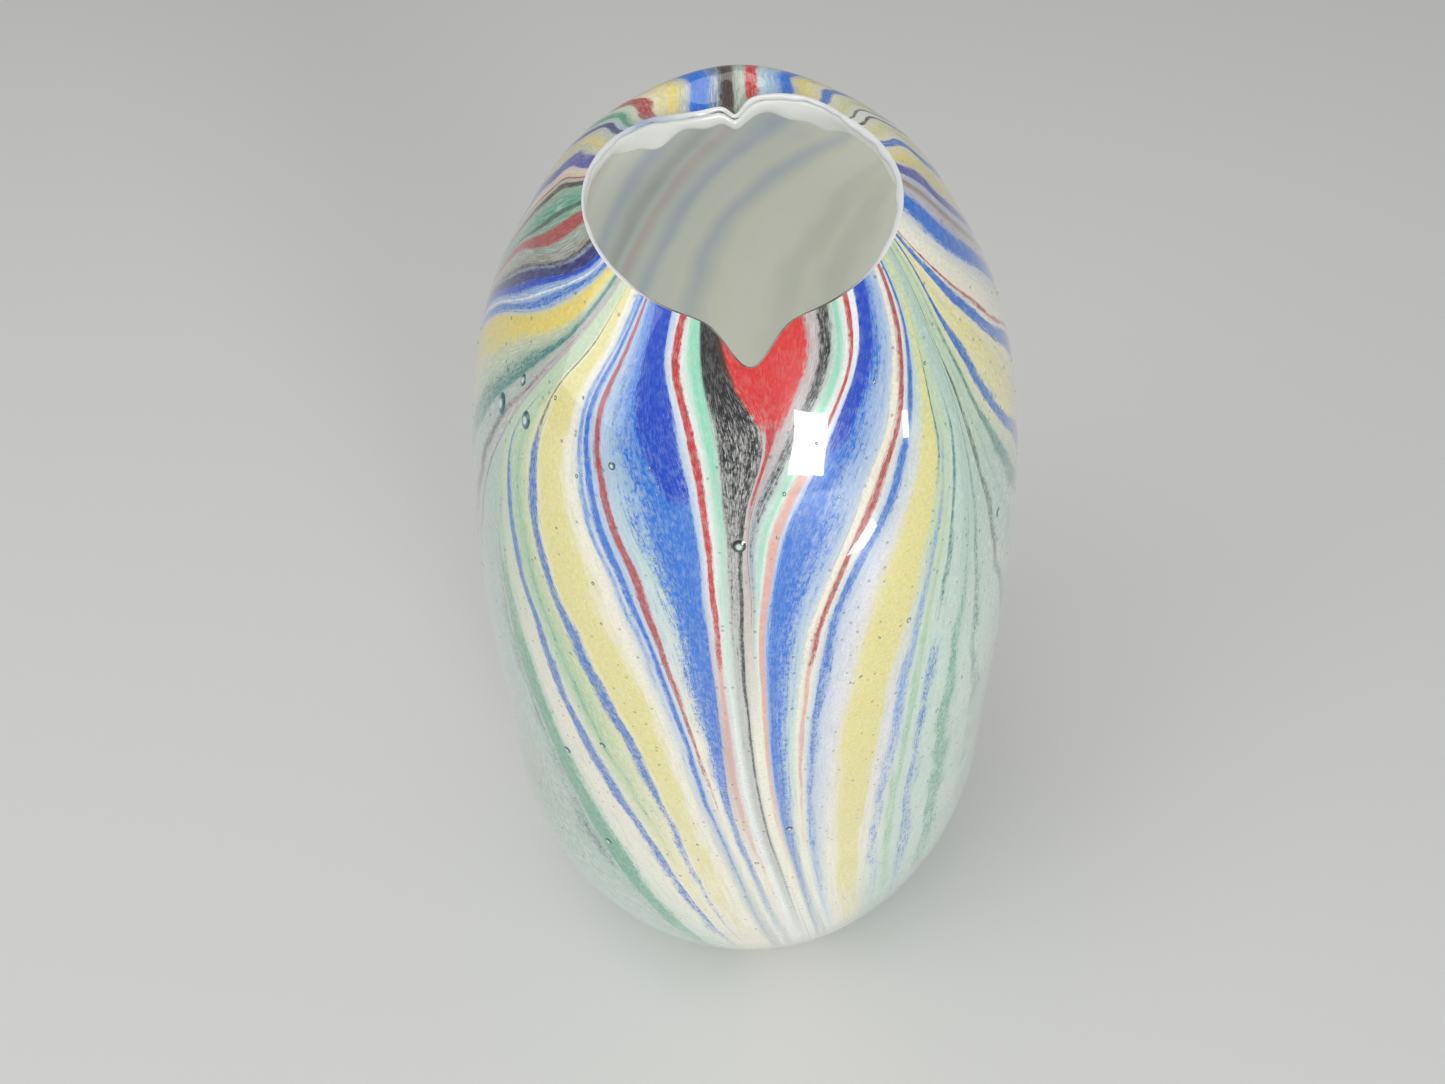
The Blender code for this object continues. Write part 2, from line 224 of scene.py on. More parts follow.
# name, azimuths, glass at the line, threads: colour, where it rises and falls in line steps, strength
pull = [
    ("groove", [-177, -176, -170, -163, -155, -146, -137, -129, -124, -121, -120],
     "olive sage sage greyMint greyMint", [("umber", (-0.45, -0.2, 0.2, 0.45), fading)]),
    ("cobaltBack", [-160, -160, -157, -152, -146, -139, -131, -124, -119, -116, -115],
     "skyBlue paleBlue paleBlue white white", [("cobalt", (-0.5, -0.2, 0.2, 0.45), fading)]),
    ("yellowBack", [-148, -148, -146, -143, -139, -133, -126, -120, -115.5, -112.8, -112],
     "gold yellow yellow paleYellow cream", []),
    ("russetBack", [-133, -133, -132, -131, -129, -125.5, -122, -118, -114.5, -111.8, -111],
     "cream cream cream cream cream", [("brick", (-0.4, -0.2, 0.2, 0.4), fading)]),
    ("greenBack", [-120, -120, -121.5, -122, -122, -121, -119, -116, -113.3, -110.8, -110],
     "paleGreen leaf sage greyMint greyMint", [("seaGreen", (-0.4, -0.1, 0.1, 0.4), fading)]),
    ("blueJag", [-112, -112, -114, -115, -116.5, -117, -116, -114, -112, -109.8, -109],
     "paleBlue paleBlue white white white", [("navy", (-0.35, -0.15, 0.15, 0.35), fading)]),
    ("amber", [-100, -104, -107, -109, -111, -113, -112.5, -111.5, -110.5, -108.8, -108],
     "gold gold yellow paleYellow cream", []),
    ("violet", [-86, -95, -99, -102, -105, -107.5, -108, -108, -107.8, -107, -106.4],
     "paleBlue lilac lilac white white", [("violet", (-0.5, -0.2, 0.3, 0.6), fading)]),
    ("peach", [-80, -90, -95, -98.5, -102, -104.8, -105.8, -106.2, -106.5, -106.1, -105.5],
     "peach peach cream cream white", [("brick", (0.2, 0.3, 0.4, 0.5), fading)]),
    ("umber", [-74, -85, -91.5, -96, -100, -102.8, -104.3, -105, -105.6, -105.3, -104.7],
     "sage sage sage greyMint greyMint", [("umber", (-0.35, -0.15, 0.15, 0.35), fading)]),
    ("green", [-67, -78, -87, -93, -98.5, -101.5, -103.2, -104, -104.8, -104.5, -103.9],
     "seaGreen seaGreen sage greyMint greyMint", [("pine", (0.25, 0.35, 0.45, 0.55), fading)]),
    ("red", [-60, -67, -83, -90, -96.5, -100.2, -102.2, -103, -104, -103.7, -103.1],
     "sage paleGreen sage paleMint paleMint", [("brick", (-0.35, -0.18, 0.18, 0.35), fading)]),
    ("taupe", [-55, -57, -76, -86, -94.5, -98.9, -101, -102, -103.2, -102.9, -102.3],
     "taupe sage sage paleMint paleMint",
     [("umber", (-0.1, 0.1, 0.2, 0.45), fades(0.7, 0.6, 0.4, 0.2, 0.1))]),
    ("navy", [-49, -50, -68, -82, -92, -97.2, -99.7, -101, -102.4, -102.1, -101.5],
     "skyBlue skyBlue paleBlue white white",
     [("navy", (-0.75, -0.5, -0.05, 0.1), fading), ("deepCobalt", (-0.1, 0.05, 0.25, 0.5), fading)]),
    ("lightBlue", [-44.5, -45, -58, -76, -89, -94.7, -98, -100, -101.5, -101.2, -100.6],
     "paleBlue paleBlue paleBlue white white",
     [("white", (-0.42, -0.34, -0.3, -0.22), fades(1, 0.5, 0, 0, 0)),
      ("blue", (-0.25, -0.1, 0.1, 0.6), fades(0.75, 0.7, 0.5, 0.2, 0.1))]),
    ("yellowLeft", [-41, -41.5, -50.5, -70, -85, -92, -96, -98.8, -100.4, -100, -99.4],
     "paleYellow paleYellow paleYellow cream cream",
     [("gold", (-0.75, -0.35, 0.2, 0.55), fades(1, 0.9, 0.6, 0.3, 0.1))]),
    ("tealLeft", [-39, -39, -45.5, -55, -66, -77, -86, -92.5, -96.5, -97, -96.5],
     "sage greyMint sage sage greyMint",
     [("teal", (-0.4, -0.1, 0.1, 0.3), fades(0.85, 0.7, 0.5, 0.3, 0.2))]),
    ("greyThread", [-37, -37, -43, -50, -57.5, -66, -74, -80, -82, -80, -79],
     "pinkGrey grey sage sage greyMint",
     [("darkGrey", (-0.4, -0.25, -0.2, -0.05), fades(0.3, 0.9, 0.6, 0.3, 0.1)),
      ("darkGrey", (0.1, 0.2, 0.26, 0.4), fades(0.5, 0.9, 0.5, 0.2, 0.1))]),
    ("sideMint", [-36.7, -36.7, -42.5, -49.2, -56.8, -63, -66, -66, -60, -50, -48],
     "paleGreen greyMint greyMint sage greyMint", []),
    ("tealEdge", [-36.5, -36.4, -42, -48.5, -56.2, -60, -58, -47.5, -33, -14, -12],
     "paleGreen greyMint greyMint greyMint greyMint",
     [("deepTeal", (-0.3, 0.0, 0.15, 0.45), fades(0, 0.1, 0.55, 0.5, 0.35))]),
    ("tealBand", [-36.3, -36.2, -41.6, -48.1, -55.7, -57.5, -54, -42, -28, -11, -9],
     "paleGreen paleGreen paleMint paleMint paleMint",
     [("seaGreen", (-0.95, -0.5, 0.2, 0.75), fades(0, 0.25, 0.86, 0.92, 0.7))]),
    ("creamEdge", [-36.1, -36.0, -41.3, -47.8, -55.3, -55.3, -49.5, -36, -22.5, -7, -5],
     "paleGreen paleGreen cream cream paleMint", []),
    ("blueOne", [-35.9, -35.7, -40.8, -47.3, -55, -53.5, -44.5, -29.5, -15.5, -3, -1],
     "paleGreen paleGreen cream cream cream",
     [("blue", (-0.4, -0.15, 0.15, 0.4), fades(0, 0.95, 0.95, 0.8, 0.45))]),
    ("greenMiddle", [-35.2, -35.2, -39.7, -46.2, -51.7, -49.5, -39.5, -25, -13.5, -2, -0.2],
     "paleGreen leaf leaf paleYellow cream",
     [("seaGreen", (-0.2, -0.05, 0.05, 0.2), fades(0, 0.35, 0.5, 0.2, 0))]),
    ("blueTwo", [-34.5, -34.5, -38.5, -45, -48.3, -44.5, -31.5, -19, -11, -1, 0.5],
     "paleYellow paleYellow paleYellow cream cream",
     [("pine", (-0.2, -0.05, 0.05, 0.2), [(0.2, 0.5), (0.4, 0.9), (0.7, 0.7), (0.9, 0)]),
      ("blue", (-0.35, -0.12, 0.1, 0.35), [(0.5, 0), (0.7, 0.9), (1.6, 0.9), (2.4, 0.6), (3.2, 0.3)])]),
    ("yellowCore", [-33.5, -33.5, -37, -41.5, -43.5, -37, -25, -15.5, -8.5, 1, 2],
     "cream cream cream cream cream",
     [("yellow", (-0.85, -0.5, 0.3, 1.0), fades(1, 1, 0.95, 0.65, 0.2))]),
    ("creamLeft", [-32, -32, -34.5, -38.5, -37.5, -28.5, -19.5, -11.5, -4, 4, 5],
     "cream cream cream cream cream", []),
    ("blueThread", [-29, -29, -32, -35.2, -33, -24, -15.7, -9, -2, 5, 6],
     "paleBlue paleBlue paleBlue blueGrey grey",
     [("cobalt", (-0.3, -0.1, 0.15, 0.4), fades(0.95, 1, 0.9, 0.4, 0.15)),
      ("skyBlue", (-0.75, -0.55, -0.4, -0.3), fades(0.8, 0.8, 0.3, 0, 0))]),
    ("redThread", [-27.5, -27.5, -30, -33, -30, -21.5, -14, -7.2, -0.3, 6.5, 7.3],
     "paleBlue paleBlue cream cream grey",
     [("brick", (-0.35, -0.2, 0.12, 0.3), [(0, 1), (1.1, 1), (1.6, 0.75), (2.0, 0.3), (2.3, 0)])]),
    ("cobaltEdge", [-26.5, -26.5, -27, -29.5, -26, -16.5, -11.5, -6, 0.5, 7, 8],
     "skyBlue paleMint cream cream white",
     [("teal", (-0.2, -0.1, 0.0, 0.2), [(0.2, 0.3), (0.5, 0.5), (0.8, 0)])]),
    ("cobaltHeart", [-23, -23, -22.5, -20.5, -14.5, -11.3, -8.7, -5.2, 1.5, 8, 9],
     "skyBlue skyBlue paleBlue blueGrey white",
     [("deepCobalt", (-1.2, -0.3, 0.85, 1.05), [(0, 1.1), (0.5, 1), (0.8, 0.7), (1.1, 0)]),
      ("cobalt", (-1.75, -0.45, 0.85, 1.05),
       [(0, 0.8), (0.6, 0.8), (1.0, 0.85), (1.6, 0.75), (2.2, 0.54), (2.8, 0.34), (3.4, 0.1)])]),
    ("cobaltInner", [-20, -20, -20, -15.8, -11.3, -9, -7, -4.4, 2.3, 8.7, 9.7],
     "paleBlue paleBlue pinkGrey cream grey", []),
    ("redInner", [-17, -17, -17.5, -13, -9.4, -7.6, -5.8, -2.8, 3.8, 10, 11],
     "white white pinkGrey cream white",
     [("red", (-0.45, -0.22, 0.2, 0.4), [(0, 1), (0.9, 1), (1.2, 0.75), (1.5, 0.3), (1.7, 0)]),
      ("pink", (-0.5, -0.22, 0.2, 0.45), [(1.0, 0), (1.3, 0.9), (1.9, 0.7), (2.6, 0.3), (3, 0)])]),
    ("mintLeft", [-14, -14, -13, -9, -7, -5.6, -4.2, -1, 5, 11, 12],
     "paleMint paleMint white white white",
     [("mint", (-0.55, -0.1, 0.3, 0.7), [(0.2, 0.85), (0.5, 0.8), (0.8, 0.5), (1.2, 0.35), (1.8, 0)]),
      ("black", (0.25, 0.5, 1, 1.2), [(0.2, 1.1), (0.38, 1.05), (0.46, 0.4), (0.52, 0)])]),
    ("blackLeft", [-11, -11, -9, -6.5, -5, -4.2, -3, 0.3, 6, 12, 13],
     "grey grey grey grey white",
     [("black", (-0.6, -0.25, 0.85, 1.1),
       [(0, 1.1), (0.42, 1.05), (0.5, 0.72), (0.7, 0.62), (0.9, 0.4), (1.3, 0.2), (2, 0)])]),
    ("spine", [-9, -9, -5.3, 1.6, -1.5, -2.1, -1.5, 1.5, 7, 13, 14],
     "grey grey grey grey white",
     [("umber", (-0.55, -0.3, 0.0, 0.2), [(0, 1.35), (0.33, 1.3), (0.40, 0.9), (0.44, 0)]),
      ("black", (-0.5, -0.2, -0.05, 0.2),
       [(0.5, 0), (0.7, 0.9), (1.2, 0.9), (2.0, 0.7), (2.6, 0.4), (3.2, 0.1)])]),
    ("redHeart", [6, 6, 4.5, 3.8, -0.6, -1.2, -0.6, 2, 7.5, 13.5, 14.5],
     "pinkGrey pinkGrey cream cream white",
     [("heartRed", (-1.2, -0.98, 0.75, 1.0), [(0, 1.15), (0.4, 1.1), (0.47, 0.85), (0.53, 0)]),
      ("red", (-0.75, -0.35, 0.3, 0.7), [(0.42, 0), (0.5, 1), (0.62, 0.9), (0.72, 0.4), (0.85, 0)])]),
    ("heartEdge", [15.5, 15.5, 13.5, 6, -0.4, -0.8, -0.3, 2.3, 7.8, 13.8, 14.8],
     "pinkGrey pinkGrey cream cream grey",
     [("darkGrey", (-0.1, 0.0, 0.1, 0.3), [(0.6, 0), (0.7, 0.8), (1.0, 0.6), (1.4, 0)])]),
    ("blackRight", [19.5, 19.5, 17.5, 9, 0.6, -0.2, 0.1, 2.6, 8.1, 14.1, 15.1],
     "grey blueGrey cream cream white",
     [("black", (-0.6, -0.2, 0.25, 0.6),
       [(0, 0.85), (0.4, 0.85), (0.55, 0.6), (0.8, 0.45), (1.1, 0.25), (1.4, 0)])]),
    ("mintRight", [23.3, 23.3, 21, 13, 3.5, 0.4, 0.6, 3, 8.6, 14.6, 15.6],
     "paleMint paleMint cream cream white",
     [("mint", (-0.4, -0.1, 0.1, 0.4), fades(0.9, 0.6, 0.2, 0, 0))]),
    ("pinkRight", [26.7, 26.7, 24, 15.7, 6, 1.7, 1.4, 3.8, 9.2, 15.2, 16.2],
     "white white cream cream white",
     [("red", (-0.3, -0.15, 0.2, 0.38), [(0, 1), (0.5, 1), (0.62, 0)]),
      ("pink", (-0.6, -0.35, 0.45, 0.8),
       [(0.5, 0), (0.6, 1), (1.2, 0.95), (1.8, 0.7), (2.4, 0.3), (3, 0)])]),
    ("blueInner", [29, 29, 26, 17.5, 8, 2.8, 2.3, 4.6, 9.8, 16, 17],
     "white skyBlue skyBlue blueGrey grey", []),
    ("blueHeart", [31.5, 31.5, 28, 21, 12, 5.5, 4, 5.8, 10.5, 17, 18],
     "skyBlue paleBlue paleBlue blueGrey white",
     [("deepCobalt", (-1.05, -0.85, 0.15, 0.7), [(0, 1.1), (0.45, 1), (0.7, 0.6), (0.95, 0)]),
      ("cobalt", (-1.1, -0.8, 0.15, 1.3),
       [(0, 0.8), (0.5, 0.8), (0.9, 0.85), (1.6, 0.74), (2.2, 0.58), (2.8, 0.38), (3.4, 0.15)])]),
    ("blueEdge", [37, 37, 34.5, 29, 20, 10.5, 7, 7.6, 11.5, 18, 19],
     "paleBlue paleBlue paleMint cream grey",
     [("cream", (0.25, 0.4, 0.6, 0.75), fades(1, 1, 0.6, 0, 0))]),
    ("redRight", [40, 40, 38.3, 33.7, 24.5, 14, 9, 9, 12.3, 18.6, 19.6],
     "cream cream cream cream white",
     [("brick", (-0.3, -0.15, 0.12, 0.28), [(0, 1), (1.0, 1), (1.2, 0.8), (1.5, 0.4), (1.8, 0)]),
      ("pink", (-0.3, -0.15, 0.12, 0.28), [(1.0, 0), (1.3, 0.9), (1.9, 0.7), (2.4, 0)])]),
    ("blueRight", [41, 41, 40, 36, 29, 16.5, 11.3, 10.5, 13.5, 19.5, 20.5],
     "paleBlue paleBlue paleBlue paleBlue white",
     [("blue", (-0.45, -0.15, 0.1, 0.55),
       [(0, 1), (0.6, 0.95), (1.0, 0.8), (1.6, 0.6), (2.4, 0.4), (3.2, 0.15)])]),
    ("creamRight", [42, 42, 41, 38.5, 33, 21.5, 15.5, 14.5, 16, 21, 22],
     "paleGreen lilac lilac cream cream", []),
    ("yellowRight", [42.8, 42.8, 42, 40, 36.5, 28, 21.5, 19, 19.5, 23, 24],
     "paleGreen paleYellow paleYellow cream cream",
     [("yellow", (-0.95, -0.3, 0.6, 0.95), fades(0.6, 1, 1, 0.85, 0.35))]),
    ("blueGreyRight", [43.5, 43.5, 42.8, 41.2, 39.8, 34.5, 28, 23.8, 23.6, 26.5, 27.5],
     "paleGreen paleGreen lilac cream greyMint",
     [("pine", (-0.3, -0.15, -0.05, 0.1), [(0.3, 0), (0.5, 0.8), (0.65, 0.7), (0.9, 0)]),
      ("skyBlue", (0.0, 0.3, 0.5, 0.8), fades(0, 0.6, 0.7, 0.5, 0.2))]),
    ("greenRight", [44.3, 44.3, 43.6, 42.6, 42, 38, 33, 30, 29.5, 31, 32],
     "paleGreen paleGreen paleMint paleMint greyMint",
     [("leaf", (-0.4, -0.1, 0.15, 0.45), fades(0, 0.35, 0.65, 0.6, 0.2))]),
    ("indigoRight", [45, 45, 44.6, 44, 44, 40.5, 35.5, 33.7, 32.8, 33.5, 34.5],
     "greyMint paleMint paleMint paleMint greyMint",
     [("teal", (-0.3, -0.1, 0.1, 0.3), [(0.4, 0), (0.7, 0.8), (1.0, 0.75), (1.4, 0.2), (1.7, 0)]),
      ("blue", (-0.4, -0.1, 0.1, 0.4), [(1.1, 0), (1.5, 0.6), (2.6, 0.55), (3.2, 0.25)])]),
    ("mintFar", [45.7, 45.7, 45.8, 46, 46.5, 46, 43.5, 42, 42, 41.5, 42],
     "greyMint greyMint paleMint paleMint greyMint",
     [("seaGreen", (-0.45, -0.15, 0.1, 0.4), fades(0, 0.3, 0.7, 0.7, 0.35))]),
    ("tealRight", [46.1, 46.1, 46.4, 46.7, 47.4, 47.9, 49.2, 52.5, 55.5, 60, 60],
     "greyMint greyMint paleMint paleMint greyMint",
     [("teal", (-0.2, -0.05, 0.08, 0.3), fades(0.5, 0.55, 0.6, 0.35, 0.2))]),
    ("greyRight", [46.5, 46.5, 47, 47.4, 48.8, 53, 60.5, 70, 78, 85, 86],
     "paleGreen greyMint paleMint greyMint greyMint",
     [("pine", (-0.16, -0.06, 0.04, 0.16), fades(0.9, 0.75, 0.6, 0.3, 0.1))]),
    ("tealFar", [48.5, 48.5, 49.5, 50.6, 54, 65.3, 82, 95, 100.6, 103, 103],
     "paleGreen greyMint greyMint paleMint greyMint",
     [("teal", (-0.25, -0.1, 0.1, 0.3), fades(0.4, 0.9, 0.8, 0.4, 0.2)),
      ("seaGreen", (-0.7, -0.6, -0.55, -0.4), fades(0.3, 0.4, 0.3, 0.2, 0))]),
    ("navyThread", [50, 50, 51, 53.3, 59, 73.5, 91, 100, 103.5, 105.3, 105.3],
     "paleYellow paleYellow paleYellow cream cream", [("blue", (-0.3, -0.12, 0.14, 0.32), fading)]),
    ("yellowFar", [50.8, 50.8, 54, 60, 68, 84, 97, 103, 105.6, 107, 107],
     "yellow yellow yellow paleYellow cream", []),
    ("bluePair", [51.7, 51.7, 58, 66, 78, 91, 101, 105, 107.4, 108.7, 108.7],
     "cream cream cream cream cream",
     [("blue", (-0.4, -0.2, 0.15, 0.3), fading),
      ("brick", (0.3, 0.36, 0.42, 0.5), fades(0.9, 0.9, 0.5, 0.2, 0))]),
    ("creamFar", [57, 57, 66, 76, 88, 98, 104, 107, 109, 110.3, 110.3],
     "cream cream cream cream cream", []),
    ("navyFar", [66, 66, 74.5, 84, 95, 103, 107, 109, 110.5, 111.7, 111.7],
     "paleBlue paleBlue paleBlue white white", [("cobalt", (-0.5, -0.2, 0.25, 0.55), fading)]),
    ("spineFar", [75, 75, 82, 92, 101, 107, 109.5, 111, 112, 113, 113],
     "pinkGrey lilac white white white",
     [("taupe", (-0.3, -0.1, 0.1, 0.3), fades(0.8, 0.6, 0.4, 0.3, 0.1))]),
    ("blueFar", [80, 80, 88, 98, 107, 112, 115, 116, 117, 118, 118],
     "paleBlue paleBlue paleBlue white white", [("violet", (-0.4, -0.2, 0.2, 0.5), fading)]),
    ("yellowSide", [87, 87, 94, 104, 112, 118, 121, 122, 122.5, 123, 123],
     "gold yellow yellow paleYellow cream", []),
    ("blueSide", [95, 96, 104, 113, 122, 129, 132, 133, 134, 134, 134],
     "cream cream cream cream cream", [("cobalt", (-0.35, -0.15, 0.15, 0.35), fading)]),
    ("yellowBehind", [102, 103, 112, 122, 131, 139, 143, 145, 146, 146, 147],
     "yellow yellow yellow paleYellow cream", []),
    ("whiteBehind", [113, 114, 124, 135, 146, 156, 162, 165, 167, 168, 168],
     "white white white white white",
     [("black", (-0.45, -0.35, -0.28, -0.18), fading), ("darkGrey", (0.15, 0.25, 0.32, 0.42), fading)]),
    ("paleBehind", [122, 124, 135, 148, 160, 171, 179, 184, 187, 188, 189],
     "yellow yellow paleYellow paleYellow cream", []),
    ("blueBehind", [132, 135, 147, 160, 173, 186, 194, 200, 203, 205, 206],
     "cream cream cream cream white", [("cobalt", (-0.35, -0.15, 0.15, 0.35), fading)]),
    ("goldBehind", [145, 148, 159, 171, 183, 195, 204, 210, 214, 216, 217],
     "gold yellow yellow paleYellow cream", []),
    ("cobaltBehind", [155, 158, 168, 179, 190, 201, 211, 218, 222, 225, 226],
     "skyBlue paleBlue paleBlue white white", [("cobalt", (-0.5, -0.2, 0.1, 0.4), fading)]),
    ("redBehind", [172, 174, 181, 190, 199, 209, 218, 226, 230, 233, 234],
     "paleMint paleMint paleMint white white", [("red", (-0.3, -0.1, 0.1, 0.4), fading)]),
]
lineOf = {row[0]: i for i, row in enumerate(pull)}
# where each ribbon of glass begins, in line steps; it ends where the next begins
ribbonStarts = [
    ("blue_back_left", lineOf["cobaltBack"] - 0.5), ("yellow_back_left", lineOf["yellowBack"] - 0.5),
    ("russet_back_left", lineOf["russetBack"] - 0.5), ("green_back_left", lineOf["greenBack"] - 0.5),
    ("amber_left", lineOf["amber"] - 0.5), ("violet_left", lineOf["violet"] - 0.5),
    ("green_left", lineOf["umber"] - 0.5), ("red_left", lineOf["red"] - 0.5),
    ("navy_left", lineOf["navy"] - 0.75), ("yellow_left", lineOf["yellowLeft"] - 0.5),
    ("teal_left", lineOf["tealLeft"] - 0.5), ("mint_left", lineOf["sideMint"] - 0.5),
    ("yellow_front_left", lineOf["blueTwo"] - 0.5), ("cream_front_left", lineOf["creamLeft"] - 0.5),
    ("cobalt_front_left", lineOf["cobaltEdge"]), ("mint_front_left", lineOf["cobaltInner"]),
    ("black_spine", lineOf["blackLeft"] - 0.5), ("red_heart", lineOf["spine"] + 0.25),
    ("mint_front_right", lineOf["heartEdge"] + 0.5), ("cobalt_front_right", lineOf["pinkRight"] + 0.5),
    ("cream_front_right", lineOf["blueEdge"] + 0.25), ("yellow_front_right", lineOf["creamRight"] + 0.5),
    ("mint_right", lineOf["blueGreyRight"] - 0.5), ("teal_right", lineOf["tealRight"] - 0.5),
    ("blue_right", lineOf["navyThread"] - 0.5), ("navy_right", lineOf["creamFar"]),
    ("violet_right", lineOf["spineFar"] - 0.5), ("yellow_right", lineOf["yellowSide"] - 0.5),
    ("grey_back_right", lineOf["whiteBehind"] - 0.5), ("blue_back_right", lineOf["blueBehind"] - 0.5),
    ("yellow_back_right", lineOf["goldBehind"] - 0.5), ("red_back", lineOf["redBehind"] - 0.5),
    ("olive_back", len(pull) - 0.5),
]
weave = {
    "rows": 250,            # down the body
    "crowded": 0.55,        # this share of the rows' spacing is crowded towards the lip
    "crowding": 1.9,
    "columnWidth": 0.00075,  # aim for the columns, where the lines are widest apart
    "leastColumns": 5,      # between one line and the next
    "mostColumns": 14,
    "leastApart": 0.12,     # degrees between one line and the next, where they are pinched
    "wander": 0.07,         # how far a thread strays from its line, in line steps
    "settling": 14,         # rounds in which a line and the lip that it starts from settle
    "chevron": radians(6),
    "chevronFrom": 0.0050,
    "chevronReach": 0.0030,
    "chevronSides": [75, 100, 150, 178],  # degrees from the front: it comes in, and goes out again
}


def linear(colour):
    seen = np.array(colour, float) / 255
    return np.where(seen < 0.04045, seen / 12.92, ((seen + 0.055) / 1.055) ** 2.4)


class Flow:
    # the map from line steps and distance down to azimuth, and the colours laid along it

    def __init__(self):
        azimuths = np.array([row[1] for row in pull], float)
        azimuths = np.vstack([azimuths, azimuths[0] + 360])
        self.fine = np.linspace(0, stations[-1], 500)
        lines = smoothThrough(stations, azimuths, self.fine)
        for i in range(1, len(lines)):
            lines[i] = np.maximum(lines[i], lines[i - 1] + weave["leastApart"])
        self.lines = np.radians(lines)
        self.grounds = np.array([[linear(glassColours[c]) for c in row[2].split()] for row in pull])
        self.grounds = np.concatenate([self.grounds, self.grounds[:1]])

    def azimuth(self, step, along):
        # along in metres
        place = np.clip(along / body["radius"] / stations[-1], 0, 1) * (len(self.fine) - 1)
        low = np.clip(place.astype(int), 0, len(self.fine) - 2)
        share = place - low
        line = np.clip(np.floor(step).astype(int), 0, len(pull) - 1)
        between = step - line
        here = self.lines[line, low] * (1 - share) + self.lines[line, low + 1] * share
        there = self.lines[line + 1, low] * (1 - share) + self.lines[line + 1, low + 1] * share
        return here * (1 - between) + there * between

    def place(self, step, share):
        # azimuth and distance down of the point this share of the way from the lip to the foot
        azimuth = self.azimuth(step, 0.25 * body["radius"] + 0 * share)
        for _ in range(weave["settling"]):
            start = skin.lipAt(azimuth)
            along = start + share * (skin.foot - start)
            azimuth = 0.5 * azimuth + 0.5 * self.azimuth(step, along)
        # behind the lip the lines are dragged back a little, in chevrons
        aside = np.abs(wrapped(azimuth))
        window = np.interp(aside, np.radians(weave["chevronSides"]), [0, 1, 1, 0])
        drag = np.exp(-(((along - start - weave["chevronFrom"]) / weave["chevronReach"]) ** 2))
        azimuth = azimuth + weave["chevron"] * drag * window * np.sign(wrapped(azimuth))
        start = skin.lipAt(azimuth)
        return azimuth, start + share * (skin.foot - start)

    def ground(self, step, along):
        # colour of the glass under the threads
        down = along / body["radius"]
        columns = np.arange(len(self.grounds))
        out = []
        for channel in range(3):
            table = self.grounds[:, :, channel]
            levels = np.stack([np.interp(step, columns, table[:, j]) for j in range(len(heights))])
            place = np.interp(down, heights, np.arange(len(heights)))
            low = np.clip(place.astype(int), 0, len(heights) - 2)
            share = place - low
            above = np.take_along_axis(levels, low[None], 0)[0]
            below = np.take_along_axis(levels, low[None] + 1, 0)[0]
            out.append(above * (1 - share) + below * share)
        return np.stack(out, -1)

    def threads(self, step, along):
        # colour of the nearest thread and how densely it lies, 0 to 1 or a little over
        down = along / body["radius"]
        stray = weave["wander"] * (
            np.sin(6.1 * down + 1.3 * step) + 0.6 * np.sin(13.7 * down - 2.1 * step + 1)
            + 0.4 * np.sin(29 * down + 0.7 * step + 2)
        )
        step = step + stray
        best = np.full(step.shape, -1e9)
        colour = np.zeros(step.shape + (3,))
        density = np.zeros(step.shape)
        for i, row in enumerate(pull):
            for name, (rise, top, end, fall), strength in row[3]:
                power = np.interp(down, *zip(*strength))
                offset = (step - i + len(pull) / 2) % len(pull) - len(pull) / 2
                raw = np.minimum((offset - rise) / (top - rise), (fall - offset) / (fall - end))
                raw = np.minimum(raw, 1)
                score = np.where(raw > 0, raw * power, raw - (1 - power))
                closer = score > best
                best = np.where(closer, score, best)
                colour = np.where(closer[..., None], linear(glassColours[name]), colour)
                density = np.where(closer, np.clip(raw, 0, 1) * power, density)
        return colour, density


flow = Flow()


def columnSteps():
    # line steps of the mesh's columns: enough between each pair of lines for their widest gap
    gaps = np.diff(flow.lines, axis=0).max(axis=1) * body["radius"] * 0.9
    counts = np.clip(np.round(gaps / weave["columnWidth"]), weave["leastColumns"], weave["mostColumns"])
    starts = [start for _, start in ribbonStarts]
    steps = [i + j / n for i, n in enumerate(counts.astype(int)) for j in range(n)]
    steps = [s for s in steps if min(abs(s - b) for b in starts) > 0.03] + starts
    return np.array(sorted(steps + [float(len(pull))]))


def rowShares(count):
    even = np.linspace(0, 1, count)
    return (1 - weave["crowded"]) * even + weave["crowded"] * even ** weave["crowding"]


def meshFrom(name, points, faces):
    mesh = bpy.data.meshes.new(name)
    mesh.from_pydata(points.tolist(), [], faces.tolist())
    mesh.shade_smooth()
    return mesh


def weld(mesh):
    # the rings that close on the axis become one point there
    work = bmesh.new()
    work.from_mesh(mesh)
    bmesh.ops.remove_doubles(work, verts=work.verts, dist=1e-6)
    bmesh.ops.recalc_face_normals(work, faces=work.faces)
    work.to_mesh(mesh)
    work.free()


def pieceFrom(name, mesh, *materials):
    piece = bpy.data.objects.new(name, mesh)
    bpy.context.scene.collection.objects.link(piece)
    for material in materials:
        mesh.materials.append(material)
    return piece


def writeColour(mesh, name, values):
    attribute = mesh.attributes.new(name, "FLOAT_COLOR", "POINT")
    rgba = np.ones((len(values), 4), np.float32)
    rgba[:, :values.shape[1]] = values
    attribute.data.foreach_set("color", rgba.ravel())


def writeValue(mesh, name, values):
    mesh.attributes.new(name, "FLOAT", "POINT").data.foreach_set("value", values.astype(np.float32).ravel())


def writeVector(mesh, name, values):
    attribute = mesh.attributes.new(name, "FLOAT_VECTOR", "POINT")
    attribute.data.foreach_set("vector", values.astype(np.float32).ravel())


